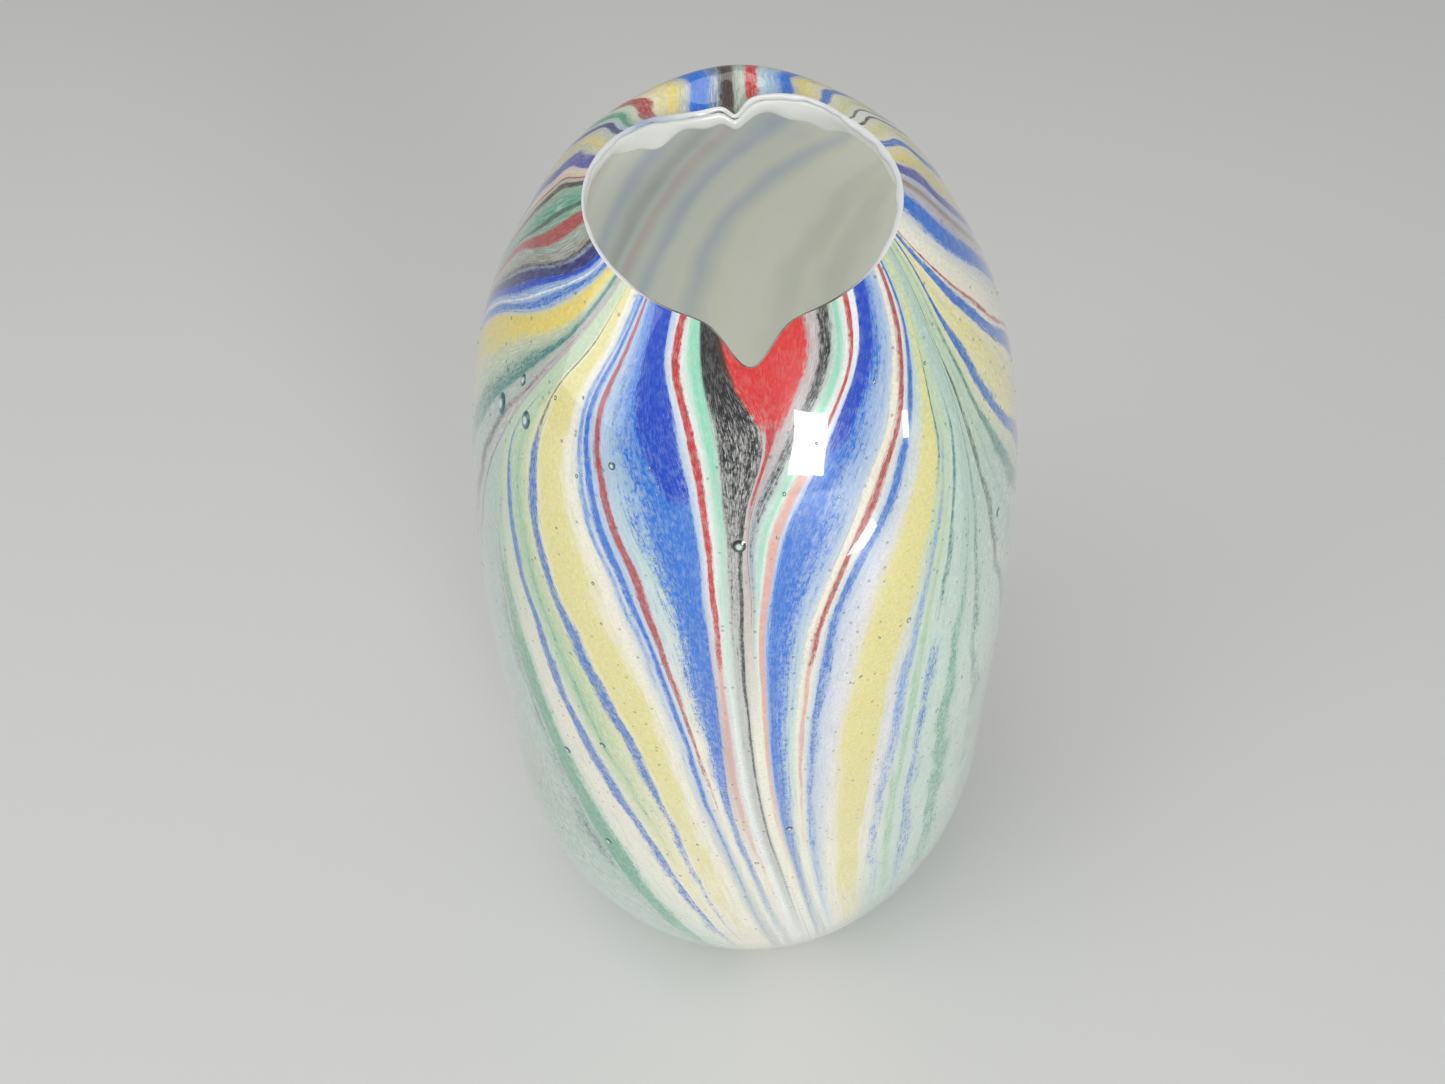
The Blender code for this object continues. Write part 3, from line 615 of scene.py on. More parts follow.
def gridFaces(rows, columns, start=0, flip=False, closed=False):
    index = np.arange(rows * columns).reshape(rows, columns) + start
    right = np.roll(index, -1, 1) if closed else index[:, 1:]
    left = index if closed else index[:, :-1]
    quads = np.stack([left[:-1], left[1:], right[1:], right[:-1]], -1).reshape(-1, 4)
    return quads[:, ::-1] if flip else quads


# ---------------------------------------------------------------- node helpers
def addNode(tree, kind, settings, inputs):
    # n0, n1 and so on are inputs by their number; other inputs go by name, with _ for a space
    made = tree.nodes.new(kind)
    for key, value in (settings or {}).items():
        setattr(made, key, value)
    for key, value in inputs.items():
        numbered = key[0] == "n" and key[1:].isdigit()
        place = made.inputs[int(key[1:]) if numbered else key.replace("_", " ")]
        if isinstance(value, bpy.types.NodeSocket):
            tree.links.new(value, place)
        else:
            place.default_value = value
    return made


class Shade:
    # one socket of a shader tree; arithmetic on it adds Math nodes

    def __init__(self, tree, socket):
        self.tree, self.socket = tree, socket

    def node(self, kind, settings=None, **inputs):
        given = {key: value.socket if isinstance(value, Shade) else value for key, value in inputs.items()}
        return addNode(self.tree, kind, settings, given)

    def out(self, made, name=0):
        return Shade(self.tree, made.outputs[name])

    def maths(self, operation, a, b):
        return self.out(self.node("ShaderNodeMath", {"operation": operation}, n0=a, n1=b))

    def __add__(self, other):
        return self.maths("ADD", self, other)

    def __radd__(self, other):
        return self.maths("ADD", other, self)

    def __sub__(self, other):
        return self.maths("SUBTRACT", self, other)

    def __rsub__(self, other):
        return self.maths("SUBTRACT", other, self)

    def __mul__(self, other):
        return self.maths("MULTIPLY", self, other)

    def smooth(self, low, high):
        kind = {"interpolation_type": "SMOOTHSTEP"}
        return self.out(self.node("ShaderNodeMapRange", kind, Value=self, From_Min=low, From_Max=high))

    def stretched(self, scale):
        made = self.node("ShaderNodeVectorMath", {"operation": "MULTIPLY"}, n0=self, n1=scale)
        return self.out(made)

    def noise(self, scale, detail=2.0, roughness=0.5):
        made = self.node("ShaderNodeTexNoise", Vector=self, Scale=scale, Detail=detail, Roughness=roughness)
        return self.out(made)

    def cells(self, scale):
        made = self.node("ShaderNodeTexVoronoi", Vector=self, Scale=scale)
        return self.out(made, "Distance"), self.out(made, "Color")

    def mixed(self, a, b):
        # self is the factor
        return self.out(self.node("ShaderNodeMix", {"data_type": "RGBA"}, n0=self, n6=a, n7=b), 2)


def newMaterial(name, **values):
    material = bpy.data.materials.new(name)
    material.use_nodes = True
    shader = material.node_tree.nodes["Principled BSDF"]
    for key, value in values.items():
        shader.inputs[key.replace("_", " ")].default_value = value
    return material, Shade(material.node_tree, None), shader


def attributeOf(shade, name, output="Color"):
    return shade.out(shade.node("ShaderNodeAttribute", {"attribute_name": name}), output)


def coordinates(shade):
    return shade.out(shade.node("ShaderNodeTexCoord"), "Object")


featheredGlass = {
    "roughness": 0.20,
    "coatRoughness": 0.012,
    "grainScale": 1500,      # frit grains, per metre
    "cloudScale": 700,
    "seedScale": 620,
    "streaks": (5.0, 2.2, 0.0),
    "fineStreaks": (24.0, 9.0, 0.0),
    "fleckStretch": (20.0, 14.0, 0.0),
    "grainInEdge": 0.8,      # how much each of them frays the edge of a thread
    "fineInEdge": 1.1,
    "streakInEdge": 1.1,
    "mottle": 0.85,
    "brightFleck": (0.60, 0.60, 0.60, 1),
    "darkFleck": (0.014, 0.013, 0.014, 1),
    "seedsLeftOut": 0.88,    # share of the cells that hold no single grain
}


def makeFeatheredGlass():
    given = featheredGlass
    material, shade, shader = newMaterial(
        "featheredGlass", Roughness=given["roughness"], IOR=1.5, Coat_Weight=1.0,
        Coat_Roughness=given["coatRoughness"], Coat_IOR=1.6,
    )
    place = coordinates(shade)
    pigment, ground = attributeOf(shade, "pigment"), attributeOf(shade, "ground")
    density = attributeOf(shade, "pigmentShare", "Fac")
    speckle = attributeOf(shade, "speckle", "Fac")
    along = attributeOf(shade, "flow", "Vector")
    streak = along.stretched(given["streaks"]).noise(1.0, 3.0, 0.6)
    fineStreak = along.stretched(given["fineStreaks"]).noise(1.0, 2.0, 0.6)
    grain = place.noise(given["grainScale"], 1.0)
    cloud = place.noise(given["cloudScale"], 2.0)
    loose = density + (grain - 0.5) * given["grainInEdge"] + (fineStreak - 0.5) * given["fineInEdge"]
    loose = loose + (streak - 0.5) * given["streakInEdge"]
    mask = loose.smooth(0.18, 0.84) * density.smooth(0.0, 0.12)
    # pale streaks in the ground between the threads
    pale = (fineStreak.smooth(0.44, 0.66) * 0.45).mixed(ground, (*linear(glassColours["white"]), 1))
    pale = (streak.smooth(0.50, 0.70) * 0.35).mixed(pale, (*linear(glassColours["greyMint"]), 1))
    # the pigment is mottled: its grains are laid more and less thickly
    flecks = along.stretched(given["fleckStretch"]).noise(1.0, 3.0, 0.7)
    thin = (cloud * 0.3 + flecks * 0.7).smooth(0.45, 0.60) * (1.25 - density) * given["mottle"]
    mottled = thin.mixed(pigment, pale)
    colour = mask.mixed(pale, mottled)
    # frit: streaky pale and dark flecks
    bright = flecks.smooth(0.54, 0.66) * speckle
    dark = (1 - flecks).smooth(0.50, 0.60) * speckle
    colour = (dark * 0.8).mixed(colour, given["darkFleck"])
    colour = (bright * 0.85).mixed(colour, given["brightFleck"])
    # a scatter of single grains everywhere
    edge, tint = place.cells(given["seedScale"])
    chance = shade.out(shade.node("ShaderNodeSeparateColor", Color=tint), 0)
    dot = (1 - edge.smooth(0.14, 0.30)) * (chance - given["seedsLeftOut"]).smooth(0.0, 0.02)
    colour = (dot * 0.5).mixed(colour, (*linear(glassColours["pine"]), 1))
    tone = (grain - 0.5) * 0.35 + 1.0
    colour = shade.out(shade.node("ShaderNodeVectorMath", {"operation": "SCALE"}, n0=colour, Scale=tone))
    shade.tree.links.new(colour.socket, shader.inputs["Base Color"])
    return material


opalGlass = {
    "roughness": 0.28,
    "coatRoughness": 0.06,
    "tint": 0.52,           # how much of the colours outside shows through
    # painted light: glow and lipGlow make the lining glow by emission, standing in for light that comes
    # through the wall
    "glow": 0.23,           # light that comes through the wall
    "lipGlow": 0.30,        # and more of it where the wall is thin
    "lumps": 0.0011,        # unevenness near the lip
    "lumpsFromLip": 0.006,  # at its greatest here
    "lumpsTurn": radians(190),
    "lumpsWidth": radians(40),
    "whiteReach": 0.010,    # the opal is whiter this near the lip
    "colour": (217, 218, 215),
    "whiter": [0.66, 0.67, 0.65],
    "blur": (-0.18, -0.09, 0.0, 0.09, 0.18),  # line steps
    "groundBlur": (-1.2, -0.4, 0.4, 1.2),
    "columns": 420,
    "rows": 150,
    "rings": (0.75, 0.5, 0.25, 0.0),  # of the floor, as shares of its radius
}


def makeOpalGlass():
    given = opalGlass
    material, shade, shader = newMaterial(
        "opalGlass", Roughness=given["roughness"], IOR=1.5, Coat_Weight=0.8,
        Coat_Roughness=given["coatRoughness"], Coat_IOR=1.5, Emission_Strength=given["glow"],
    )
    shown = attributeOf(shade, "shown")
    place = coordinates(shade)
    cloud = place.noise(70, 3.0)
    colour = (cloud.smooth(0.35, 0.75) * 0.35).mixed(shown, (0.68, 0.69, 0.67, 1))
    shade.tree.links.new(colour.socket, shader.inputs["Base Color"])
    # painted light: the lining's emission, in the colours it shows, stands in for light coming through the
    # wall
    glow = attributeOf(shade, "glow")
    shade.tree.links.new(glow.socket, shader.inputs["Emission Color"])
    return material


def makeLipGlass():
    material, shade, shader = newMaterial(
        "lipGlass", Roughness=0.12, IOR=1.5, Coat_Weight=1.0, Coat_Roughness=0.02, Coat_IOR=1.5
    )
    shown = attributeOf(shade, "shown")
    place = coordinates(shade)
    cloud = place.noise(240, 3.0)
    colour = (cloud.smooth(0.4, 0.7) * 0.25).mixed(shown, (0.86, 0.88, 0.88, 1))
    shade.tree.links.new(colour.socket, shader.inputs["Base Color"])
    return material


def makeFootGlass():
    material, shade, shader = newMaterial("groundFootGlass", Roughness=0.55, IOR=1.5)
    place = coordinates(shade)
    scratch = place.stretched((1.0, 0.15, 1.0)).noise(1800, 2.0)
    worn = place.noise(120, 3.0)
    colour = (worn.smooth(0.35, 0.7) * 0.5).mixed((0.50, 0.57, 0.53, 1), (0.66, 0.70, 0.66, 1))
    rough = 0.35 + scratch * 0.4
    shade.tree.links.new(colour.socket, shader.inputs["Base Color"])
    shade.tree.links.new(rough.socket, shader.inputs["Roughness"])
    return material


# ---------------------------------------------------------------- the ribbons of coloured glass
slotOf = {part["node"]: part["material_slot"] for part in frame["record"]["subparts"]}


def speckleAt(step, down):
    # frit shows most in the black glass round the spine
    across = np.interp(step - lineOf["spine"], [-1.4, -1.0, 0.0, 0.25], [0, 1, 1, 0])
    spine = across * np.interp(down, [0.3, 0.42, 0.5, 0.7, 0.85, 1.1], [0.1, 0.3, 1, 0.9, 0.4, 0.1])
    rightBand = np.interp(step - lineOf["blackRight"], [-0.7, -0.3, 0.3, 0.7], [0, 1, 1, 0])
    return np.clip(spine + rightBand * np.interp(down, [0.25, 0.5, 0.9], [0.75, 0.7, 0]), 0, 1)


def makeRibbons(material):
    steps = columnSteps()
    shares = rowShares(weave["rows"])
    stepGrid, shareGrid = np.meshgrid(steps, shares)
    azimuth, along = flow.place(stepGrid, shareGrid)
    print("surface grid", azimuth.shape)
    outer = skin.at(azimuth, along, 0.0)
    inner = skin.at(azimuth, along, body["skin"] * wallAt(azimuth, along))
    normal = unit(np.cross(downhill(azimuth, along, 1e-5), sideways(azimuth, along, 1e-4)))
    pigment, density = flow.threads(stepGrid, along)
    ground = flow.ground(stepGrid, along)
    down = along / body["radius"]
    speckle = speckleAt(stepGrid, down)
    flowPlace = np.stack([stepGrid, down * 3.0, 0 * down], -1)
    whole = len(pull)
    for i, (name, start) in enumerate(ribbonStarts):
        end = ribbonStarts[i + 1][1] if i + 1 < len(ribbonStarts) else ribbonStarts[0][1] + whole
        columns = np.flatnonzero((steps >= start - 1e-6) & (steps <= min(end, whole) + 1e-6))
        if end > whole:
            # this ribbon runs on past the last line, to the first
            after = np.flatnonzero((steps > 1e-6) & (steps <= end - whole + 1e-6))
            columns = np.concatenate([columns, after])
        rows, across = len(shares), len(columns)
        pick = np.ix_(np.arange(rows), columns)
        points = np.vstack([outer[pick].reshape(-1, 3), inner[pick].reshape(-1, 3)])
        count = rows * across
        front = gridFaces(rows, across)
        back = gridFaces(rows, across, count, flip=True)
        index = np.arange(count).reshape(rows, across)
        rim = np.concatenate([index[0], index[1:, -1], index[-1, -2::-1], index[-2:0:-1, 0]])
        after = np.roll(rim, -1)
        sides = np.stack([rim, after, after + count, rim + count], -1)
        mesh = meshFrom(name + "_glass", points, np.vstack([front, back, sides]))
        loops = np.empty(len(mesh.loops), int)
        mesh.loops.foreach_get("vertex_index", loops)
        pointNormals = np.vstack([normal[pick].reshape(-1, 3), -normal[pick].reshape(-1, 3)])
        loopNormals = pointNormals[loops]
        faceNormals = np.empty((len(mesh.polygons), 3), np.float32)
        mesh.polygons.foreach_get("normal", faceNormals.ravel())
        sideLoops = slice(4 * (len(front) + len(back)), None)
        loopNormals[sideLoops] = np.repeat(faceNormals[len(front) + len(back):], 4, axis=0)
        mesh.normals_split_custom_set(loopNormals.tolist())
        twice = lambda values: np.concatenate([values[pick].reshape(count, -1)] * 2)
        writeColour(mesh, "pigment", twice(pigment))
        writeColour(mesh, "ground", twice(ground))
        writeValue(mesh, "pigmentShare", twice(density))
        writeValue(mesh, "speckle", twice(speckle))
        writeVector(mesh, "flow", twice(flowPlace))
        piece = pieceFrom(name + "_glass", mesh, material)
        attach(piece, "root")
        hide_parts(name + "_ribbon")
        slotOf[name + "_ribbon"]
    print("ribbons done")


def blurredColours(steps, along):
    # the colours outside, as they show through the opal glass
    given = opalGlass
    shifted = [(steps + shift) % len(pull) for shift in given["groundBlur"]]
    ground = sum(flow.ground(step, along) for step in shifted) / len(shifted)
    blurred = np.zeros_like(ground)
    for shift in given["blur"]:
        threads, density = flow.threads((steps + shift) % len(pull), along)
        share = 0.7 * density[..., None]
        blurred = blurred + (ground * (1 - share) + threads * share) / len(given["blur"])
    return 0.65 * blurred + 0.35 * blurred.mean(axis=-1, keepdims=True)


def makeLining(material):
    given = opalGlass
    steps = np.linspace(0, len(pull), given["columns"], endpoint=False)
    stepGrid, shareGrid = np.meshgrid(steps, rowShares(given["rows"]))
    azimuth, along = flow.place(stepGrid, shareGrid)
    depth = wallAt(azimuth, along)
    fromLip = along - skin.lipAt(azimuth)
    lumps = np.sin(5 * azimuth + 1.1) + 0.8 * np.sin(8 * azimuth + fromLip * 260 + 0.4)
    lumps = lumps + 0.45 * np.sin(17 * azimuth - fromLip * 420 + 1)
    atBack = 0.35 + np.exp(-((wrapped(azimuth - given["lumpsTurn"]) / given["lumpsWidth"]) ** 2))
    down = fromLip / given["lumpsFromLip"]
    lumps = lumps * atBack * down * np.exp(1 - down)
    inner = skin.at(azimuth, along, depth + given["lumps"] * lumps)
    outer = skin.at(azimuth, along, (body["skin"] + 0.03) * depth)
    opal = linear(given["colour"])
    shown = opal * (1 - given["tint"]) + blurredColours(stepGrid, along) * given["tint"]
    whiter = np.exp(-((fromLip / given["whiteReach"]) ** 2))[..., None]
    shown = shown * (1 - whiter) + np.array(given["whiter"]) * whiter
    # painted light: the glow is brighter where the lumps thicken the wall and near the lip
    thickness = 1 + 0.20 * lumps[..., None]
    glow = shown * np.clip(thickness, 0.5, 1.6) * (1 + given["lipGlow"] * whiter)
    # floor of the hollow: rings that close on the axis, the inner ones sunk a little
    innerRings = [inner[-1] * [share, share, 1] + [0, 0, (share - 1) * 0.0005] for share in given["rings"]]
    outerRings = [outer[-1] * [share, share, 1] for share in given["rings"]]
    innerAll = np.vstack([inner.reshape(-1, 3), *innerRings])
    outerAll = np.vstack([outer.reshape(-1, 3), *outerRings])
    across = given["columns"]
    allRows = given["rows"] + len(given["rings"])
    count = allRows * across
    inside = gridFaces(allRows, across, flip=True, closed=True)
    outside = gridFaces(allRows, across, count, closed=True)
    ring = np.arange(across)
    after = np.roll(ring, -1)
    edge = np.stack([ring, after, after + count, ring + count], -1)
    mesh = meshFrom("opalLining", np.vstack([innerAll, outerAll]), np.vstack([inside, outside, edge]))
    floorColour = np.repeat(opal[None], len(given["rings"]) * across, axis=0)
    for name, values in (("shown", shown), ("glow", glow)):
        one = np.vstack([values.reshape(-1, 3), floorColour])
        writeColour(mesh, name, np.vstack([one, one]))
    piece = pieceFrom("opalLining", mesh, material)
    weld(mesh)
    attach(piece, "root")
    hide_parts("opal_lining")
    print("lining done")


# ---------------------------------------------------------------- geometry nodes
class Tree:
    # a geometry tree with named inputs

    def __init__(self, name, sizes):
        self.tree = bpy.data.node_groups.new(name, "GeometryNodeTree")
        face = self.tree.interface
        face.new_socket("Geometry", in_out="INPUT", socket_type="NodeSocketGeometry")
        face.new_socket("Geometry", in_out="OUTPUT", socket_type="NodeSocketGeometry")
        for key, value in sizes.items():
            kind = "NodeSocketInt" if isinstance(value, int) else "NodeSocketFloat"
            face.new_socket(key, in_out="INPUT", socket_type=kind).default_value = value
        self.given = self.tree.nodes.new("NodeGroupInput")
        self.result = self.tree.nodes.new("NodeGroupOutput")
        self.sizes = sizes

    def add(self, kind, settings=None, **inputs):
        return addNode(self.tree, kind, settings, inputs)

    def size(self, name):
        return self.given.outputs[name]

    def read(self, name, kind):
        # an attribute of the points
        return self.add("GeometryNodeInputNamedAttribute", {"data_type": kind}, Name=name).outputs[0]

    def finish(self, geometry, material):
        real = self.add("GeometryNodeRealizeInstances", Geometry=geometry)
        painted = self.add("GeometryNodeSetMaterial", Geometry=real.outputs[0], Material=material)
        self.tree.links.new(painted.outputs[0], self.result.inputs[0])

    def meshOf(self, piece):
        modifier = piece.modifiers.new("shape", "NODES")
        modifier.node_group = self.tree
        for item in self.tree.interface.items_tree:
            if item.in_out == "INPUT" and item.name in self.sizes:
                modifier[item.identifier] = self.sizes[item.name]
        bpy.context.view_layer.update()
        graph = bpy.context.evaluated_depsgraph_get()
        mesh = bpy.data.meshes.new_from_object(piece.evaluated_get(graph))
        piece.modifiers.remove(modifier)
        return mesh


lipBead = {
    "points": 720,
    "sides": 16,
    "fullness": 1.0,
    "notchTurn": radians(2),
    "notchWidth": radians(30),
    "thicker": 0.6,         # on the right
    "thickerTurn": radians(80),
    "thickerWidth": radians(30),
    "white": (0.80, 0.82, 0.81),
    "blue": (120, 150, 215),  # where blue glass shows through, at the upper left
    "blueShare": 0.6,
    "blueTurn": radians(-128),
    "blueWidth": radians(16),
    "notchColour": (96, 84, 70),
}


def makeLip(material):
    # the fire-polished bead, swept round the mouth
    given = lipBead
    count = given["points"]
    azimuth = np.linspace(-pi, pi, count, endpoint=False)
    atNotch = np.exp(-((wrapped(azimuth - given["notchTurn"]) / given["notchWidth"]) ** 4))
    atRight = np.exp(-((wrapped(azimuth - given["thickerTurn"]) / given["thickerWidth"]) ** 2))
    thick = lip["bead"] + (lip["beadAtNotch"] - lip["bead"]) * atNotch
    thick = thick * (1 + given["thicker"] * atRight)
    uneven = 0.14 * np.sin(7 * azimuth + 1) + 0.11 * np.sin(17 * azimuth) + 0.08 * np.sin(31 * azimuth + 2)
    thick = thick * (1 + uneven * (1 - atNotch))
    centre = skin.at(azimuth, skin.lipAt(azimuth) + 0.0001, thick + 0.00002)
    blueShare = np.exp(-((wrapped(azimuth - given["blueTurn"]) / given["blueWidth"]) ** 2))[:, None]
    blueShare = given["blueShare"] * blueShare
    colour = np.array(given["white"]) * (1 - blueShare) + linear(given["blue"]) * blueShare
    notchShare = np.clip(1.25 * atNotch, 0, 1)[:, None]
    colour = colour * (1 - notchShare) + linear(given["notchColour"]) * notchShare
    points = bpy.data.meshes.new("lipLine")
    points.from_pydata(centre.tolist(), [(i, (i + 1) % count) for i in range(count)], [])
    writeValue(points, "thick", thick)
    writeColour(points, "shown", colour)
    guide = pieceFrom("lipLine", points)
    tree = Tree("lipBead", {"Sides": given["sides"], "Fullness": given["fullness"]})
    line = tree.add("GeometryNodeMeshToCurve", Mesh=tree.size("Geometry")).outputs[0]
    radius = tree.read("thick", "FLOAT")
    sides, fullness = tree.size("Sides"), tree.size("Fullness")
    section = tree.add("GeometryNodeCurvePrimitiveCircle", Resolution=sides, Radius=fullness)
    scaled = tree.add("GeometryNodeSetCurveRadius", Curve=line, Radius=radius).outputs[0]
    profile = section.outputs[0]
    swept = tree.add("GeometryNodeCurveToMesh", Curve=scaled, Profile_Curve=profile, Scale=radius)
    smooth = tree.add("GeometryNodeSetShadeSmooth", Geometry=swept.outputs[0])
    tree.finish(smooth.outputs[0], material)
    mesh = tree.meshOf(guide)
    bpy.data.objects.remove(guide)
    mesh.name = "lipBead"
    piece = pieceFrom("lipBead", mesh)
    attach(piece, "root")
    print("lip done", len(mesh.polygons))


bubbles = {
    # azimuth, distance down in body radii, radius in metres, how long, shade
    "large": [
        (-2.8, 0.80, 0.0012, 1.1, "black"), (-52, 0.65, 0.0012, 1.5, "deepTeal"),
        (-61.5, 0.68, 0.0014, 1.6, "deepTeal"), (-56, 0.56, 0.0008, 1.5, "deepTeal"),
        (-28.5, 0.635, 0.0007, 1.1, "deepTeal"), (-31, 1.76, 0.0008, 1.1, "deepTeal"),
        (-41, 1.94, 0.0010, 1.2, "deepTeal"), (-33, 2.44, 0.0011, 1.1, "deepTeal"),
        (6.5, 2.10, 0.0008, 1.1, "navy"), (0, 2.33, 0.0006, 1.0, "taupe"),
        (30, 1.2, 0.0006, 1.3, "taupe"), (39, 1.75, 0.0006, 1.3, "taupe"),
        (58, 1.1, 0.0009, 1.4, "teal"), (-150, 1.3, 0.0010, 1.3, "taupe"),
        (170, 2.2, 0.0012, 1.3, "taupe"), (110, 1.7, 0.0009, 1.2, "taupe"),
    ],
    "seeds": 520,
    "seedRadius": (0.00015, 0.00034),
    "seedBand": (0.4, 3.5),  # distances down, in body radii
    "seedLength": (1, 1.5),
    "seedShade": "pine",
    "clearOfLip": 0.004,
    "seed": 11,
    "turns": 14,
    # the dome: radius and height of its rings, and how dark each is; the dark rings are painted shade at
    # the bubble's edge
    "dome": [(1.25, -0.06, 0.7), (1.0, 0.03, 1.0), (0.84, 0.12, 1.0),
             (0.62, 0.20, 0.85), (0.36, 0.25, 0.05), (0.0, 0.27, 0.0)],
}


def makeBubbles(material):
    # small domes in the surface: a dark ring of painted shade and a bright middle of painted light
    chance = np.random.default_rng(bubbles["seed"])
    count = bubbles["seeds"]
    turn, down, size, length, shade = zip(*bubbles["large"])
    azimuth = np.radians([*turn, *chance.uniform(-180, 180, count)])
    along = np.array([*down, *chance.uniform(*bubbles["seedBand"], count)]) * body["radius"]
    radius = np.array([*size, *chance.uniform(*bubbles["seedRadius"], count)])
    long = np.array([*length, *chance.uniform(*bubbles["seedLength"], count)])
    ring = np.array([linear(glassColours[name]) for name in [*shade, *[bubbles["seedShade"]] * count]])
    along = np.maximum(along, skin.lipAt(azimuth) + bubbles["clearOfLip"])
    downwards = downhill(azimuth, along, 1e-4)
    outwards = np.cross(downwards, sideways(azimuth, along, 1e-3))
    guide = bpy.data.meshes.new("bubblePlaces")
    guide.from_pydata(skin.at(azimuth, along, 0.0).tolist(), [], [])
    writeVector(guide, "outwards", unit(outwards))
    writeVector(guide, "downwards", unit(downwards))
    writeVector(guide, "spread", np.stack([radius, radius * long, radius], -1))
    writeColour(guide, "ring", ring)
    holder = pieceFrom("bubblePlaces", guide)
    profile, turns = bubbles["dome"], bubbles["turns"]
    angle = np.linspace(0, 2 * pi, turns, endpoint=False)
    rings = np.array([[(r * cos(a), r * sin(a), z) for a in angle] for r, z, _ in profile])
    faces = gridFaces(len(profile), turns, closed=True, flip=True)
    dome = meshFrom("bubbleDome", rings.reshape(-1, 3), faces)
    writeValue(dome, "darkness", np.repeat([darkness for _, _, darkness in profile], turns))
    pattern = pieceFrom("bubbleDome", dome)
    tree = Tree("bubbles", {"Size": 1.0})
    points = tree.add("GeometryNodeMeshToPoints", Mesh=tree.size("Geometry")).outputs[0]
    outward, downward = tree.read("outwards", "FLOAT_VECTOR"), tree.read("downwards", "FLOAT_VECTOR")
    upright = tree.add("FunctionNodeAlignRotationToVector", {"axis": "Z"}, Vector=outward)
    turned = tree.add("FunctionNodeAlignRotationToVector", {"axis": "Y", "pivot_axis": "Z"},
                      Rotation=upright.outputs[0], Vector=downward)
    spread = tree.read("spread", "FLOAT_VECTOR")
    scale = tree.add("ShaderNodeVectorMath", {"operation": "SCALE"}, n0=spread, Scale=tree.size("Size"))
    shape = tree.add("GeometryNodeObjectInfo", Object=pattern)
    placed = tree.add("GeometryNodeInstanceOnPoints", Points=points, Instance=shape.outputs["Geometry"],
                      Rotation=turned.outputs[0], Scale=scale.outputs[0])
    tree.finish(placed.outputs[0], material)
    mesh = tree.meshOf(holder)
    bpy.data.objects.remove(holder)
    bpy.data.objects.remove(pattern)
    mesh.name = "bubbles"
    mesh.shade_smooth()
    piece = pieceFrom("bubbles", mesh)
    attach(piece, "root")
    print("bubbles done", len(mesh.polygons))


def makeBubbleGlass():
    material, shade, shader = newMaterial(
        "bubbleGlass", Roughness=0.1, IOR=1.5, Coat_Weight=1.0, Coat_Roughness=0.01, Coat_IOR=1.6
    )
    darkness = attributeOf(shade, "darkness", "Fac")
    # painted shade and light: darkness gives the edge the dark ring colour and the middle a pale colour
    colour = darkness.mixed((0.62, 0.72, 0.70, 1), attributeOf(shade, "ring"))
    shade.tree.links.new(colour.socket, shader.inputs["Base Color"])
    return material


foot = {
    "ground": 0.006,        # the ground ring ends this far in from the edge
    "hollow": 0.0006,       # and the middle is this far off the table
    "thick": 0.0022,
    "points": 180,
}


def makeFoot(material):
    # ground flat, with a worn corner
    radius = skin.points[-1, 0]
    profile = [
        (radius + 0.0001, 0.0002), (radius - 0.0012, 0.0), (radius - foot["ground"], 0.0),
        (radius - foot["ground"] - 0.002, foot["hollow"] / 2), (radius * 0.5, foot["hollow"]),
        (0.0, foot["hollow"]), (0.0, foot["thick"]), (radius - 0.004, foot["thick"]),
    ]
    count = foot["points"]
    angle = np.linspace(0, 2 * pi, count, endpoint=False)
    rings = np.array([[(r * sin(a), -r * cos(a), z) for a in angle] for r, z in profile])
    ring = np.arange(count)
    last = ring + (len(profile) - 1) * count
    edge = np.stack([last, np.roll(last, -1), np.roll(ring, -1), ring], -1)[:, ::-1]
    faces = np.vstack([gridFaces(len(profile), count, closed=True), edge])
    mesh = meshFrom("groundFoot", rings.reshape(-1, 3), faces)
    weld(mesh)
    piece = pieceFrom("groundFoot", mesh, material)
    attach(piece, "root")
    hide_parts("clear_casing")
    print("foot done")


# ---------------------------------------------------------------- room, light and camera
view = {
    "place": (-0.0059, -0.1848, 0.3818),
    "pitch": 50.92,          # degrees below level
    "roll": -2.06,
    "lens": 27.03,
}


def makeCamera():
    data = bpy.data.cameras.new("camera")
    data.lens = view["lens"]
    data.sensor_width = 36
    data.clip_start = 0.01
    camera = bpy.data.objects.new("camera", data)
    bpy.context.scene.collection.objects.link(camera)
    pitch, roll = radians(view["pitch"]), radians(view["roll"])
    forward = Vector((0, cos(pitch), -sin(pitch)))
    right = Vector((1, 0, 0))
    up = right.cross(forward)
    turnedRight = cos(roll) * right + sin(roll) * up
    turnedUp = -sin(roll) * right + cos(roll) * up
    turn = Matrix((turnedRight, turnedUp, -forward)).transposed()
    camera.matrix_world = Matrix.Translation(view["place"]) @ turn.to_4x4()
    bpy.context.scene.camera = camera


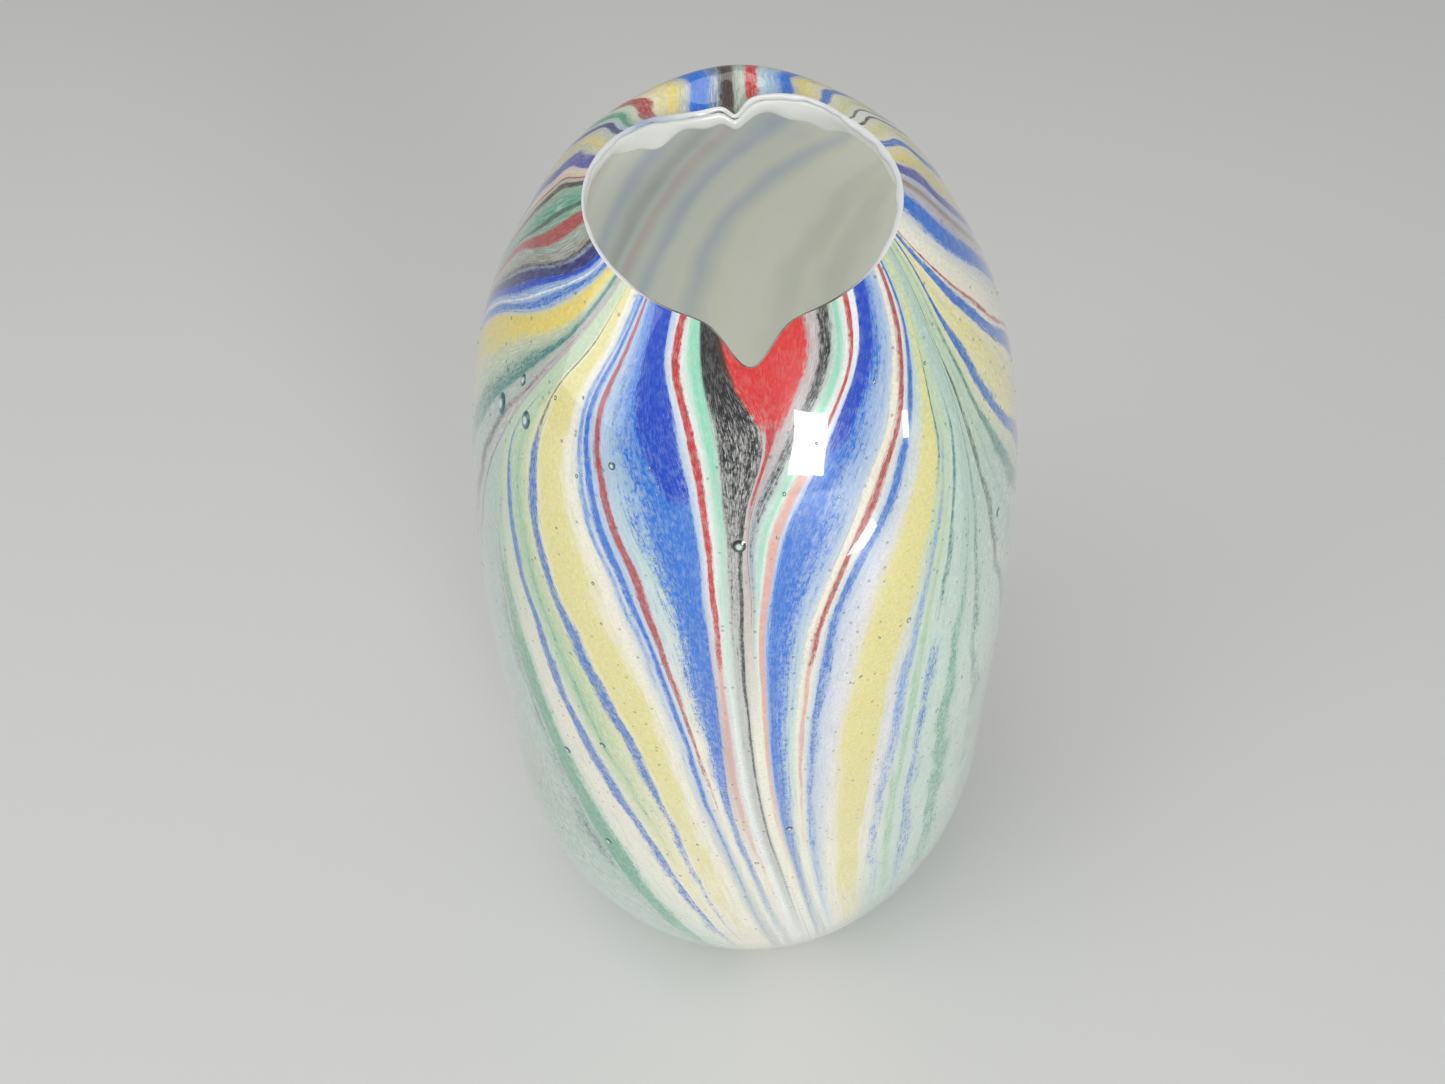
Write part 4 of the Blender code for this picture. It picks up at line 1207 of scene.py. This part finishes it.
lights = [
    # name, place, looks at, width, height, turned by, watts, lights matt surfaces, colour
    ("windowLight", (0.83, -1.86, 0.51), (0.01, -0.05, 0.242),
     0.50, 0.70, -15, 17.0, True, (1.0, 0.99, 0.97)),
    ("upperPane", (0.479, -0.26, 0.230), (0.029, -0.044, 0.240),
     0.022, 0.060, -25, 0.065, False, (1.0, 1.0, 1.0)),
    ("lowerPane", (0.330, -0.404, 0.012), (0.020, -0.055, 0.219),
     0.032, 0.12, -55, 0.17, False, (1.0, 1.0, 1.0)),
    ("ceilingLight", (-0.3, -0.5, 1.7), (0, 0, 0.1),
     1.6, 1.6, 0, 12.5, True, (1.0, 0.98, 0.95)),
    ("sideLight", (-1.4, -0.6, 0.8), (0, 0, 0.15),
     1.0, 1.0, 0, 4.0, True, (0.95, 0.97, 1.0)),
]
room = {
    "air": (0.80, 0.82, 0.84, 1),
    "strength": 0.45,
    "floor": (0.74, 0.735, 0.72, 1),
    "floorHalf": 3.0,
}


def makeLights():
    for name, place, target, width, height, turn, watts, matt, colour in lights:
        data = bpy.data.lights.new(name, "AREA")
        data.shape, data.size, data.size_y = "RECTANGLE", width, height
        data.energy, data.color = watts, colour
        lamp = bpy.data.objects.new(name, data)
        lamp.location = place
        lamp.visible_diffuse = matt
        facing = (Vector(target) - Vector(place)).to_track_quat("-Z", "Y").to_matrix()
        lamp.rotation_euler = (facing @ Matrix.Rotation(radians(turn), 3, "Z")).to_euler()
        bpy.context.scene.collection.objects.link(lamp)
    world = bpy.data.worlds.new("room")
    world.use_nodes = True
    air = world.node_tree.nodes["Background"]
    air.inputs["Color"].default_value = room["air"]
    air.inputs["Strength"].default_value = room["strength"]
    bpy.context.scene.world = world
    bpy.context.scene.view_settings.view_transform = "Standard"


def makeFloor():
    half = room["floorHalf"]
    corners = np.array([(-half, -half, 0), (half, -half, 0), (half, half, 0), (-half, half, 0)], float)
    mesh = meshFrom("floor", corners, np.array([[0, 1, 2, 3]]))
    material, _, _ = newMaterial("floorPaint", Roughness=0.6, Base_Color=room["floor"])
    pieceFrom("floor", mesh, material)


makeCamera()
makeLights()
makeFloor()
makeRibbons(makeFeatheredGlass())
makeLining(makeOpalGlass())
makeLip(makeLipGlass())
makeFoot(makeFootGlass())
makeBubbles(makeBubbleGlass())
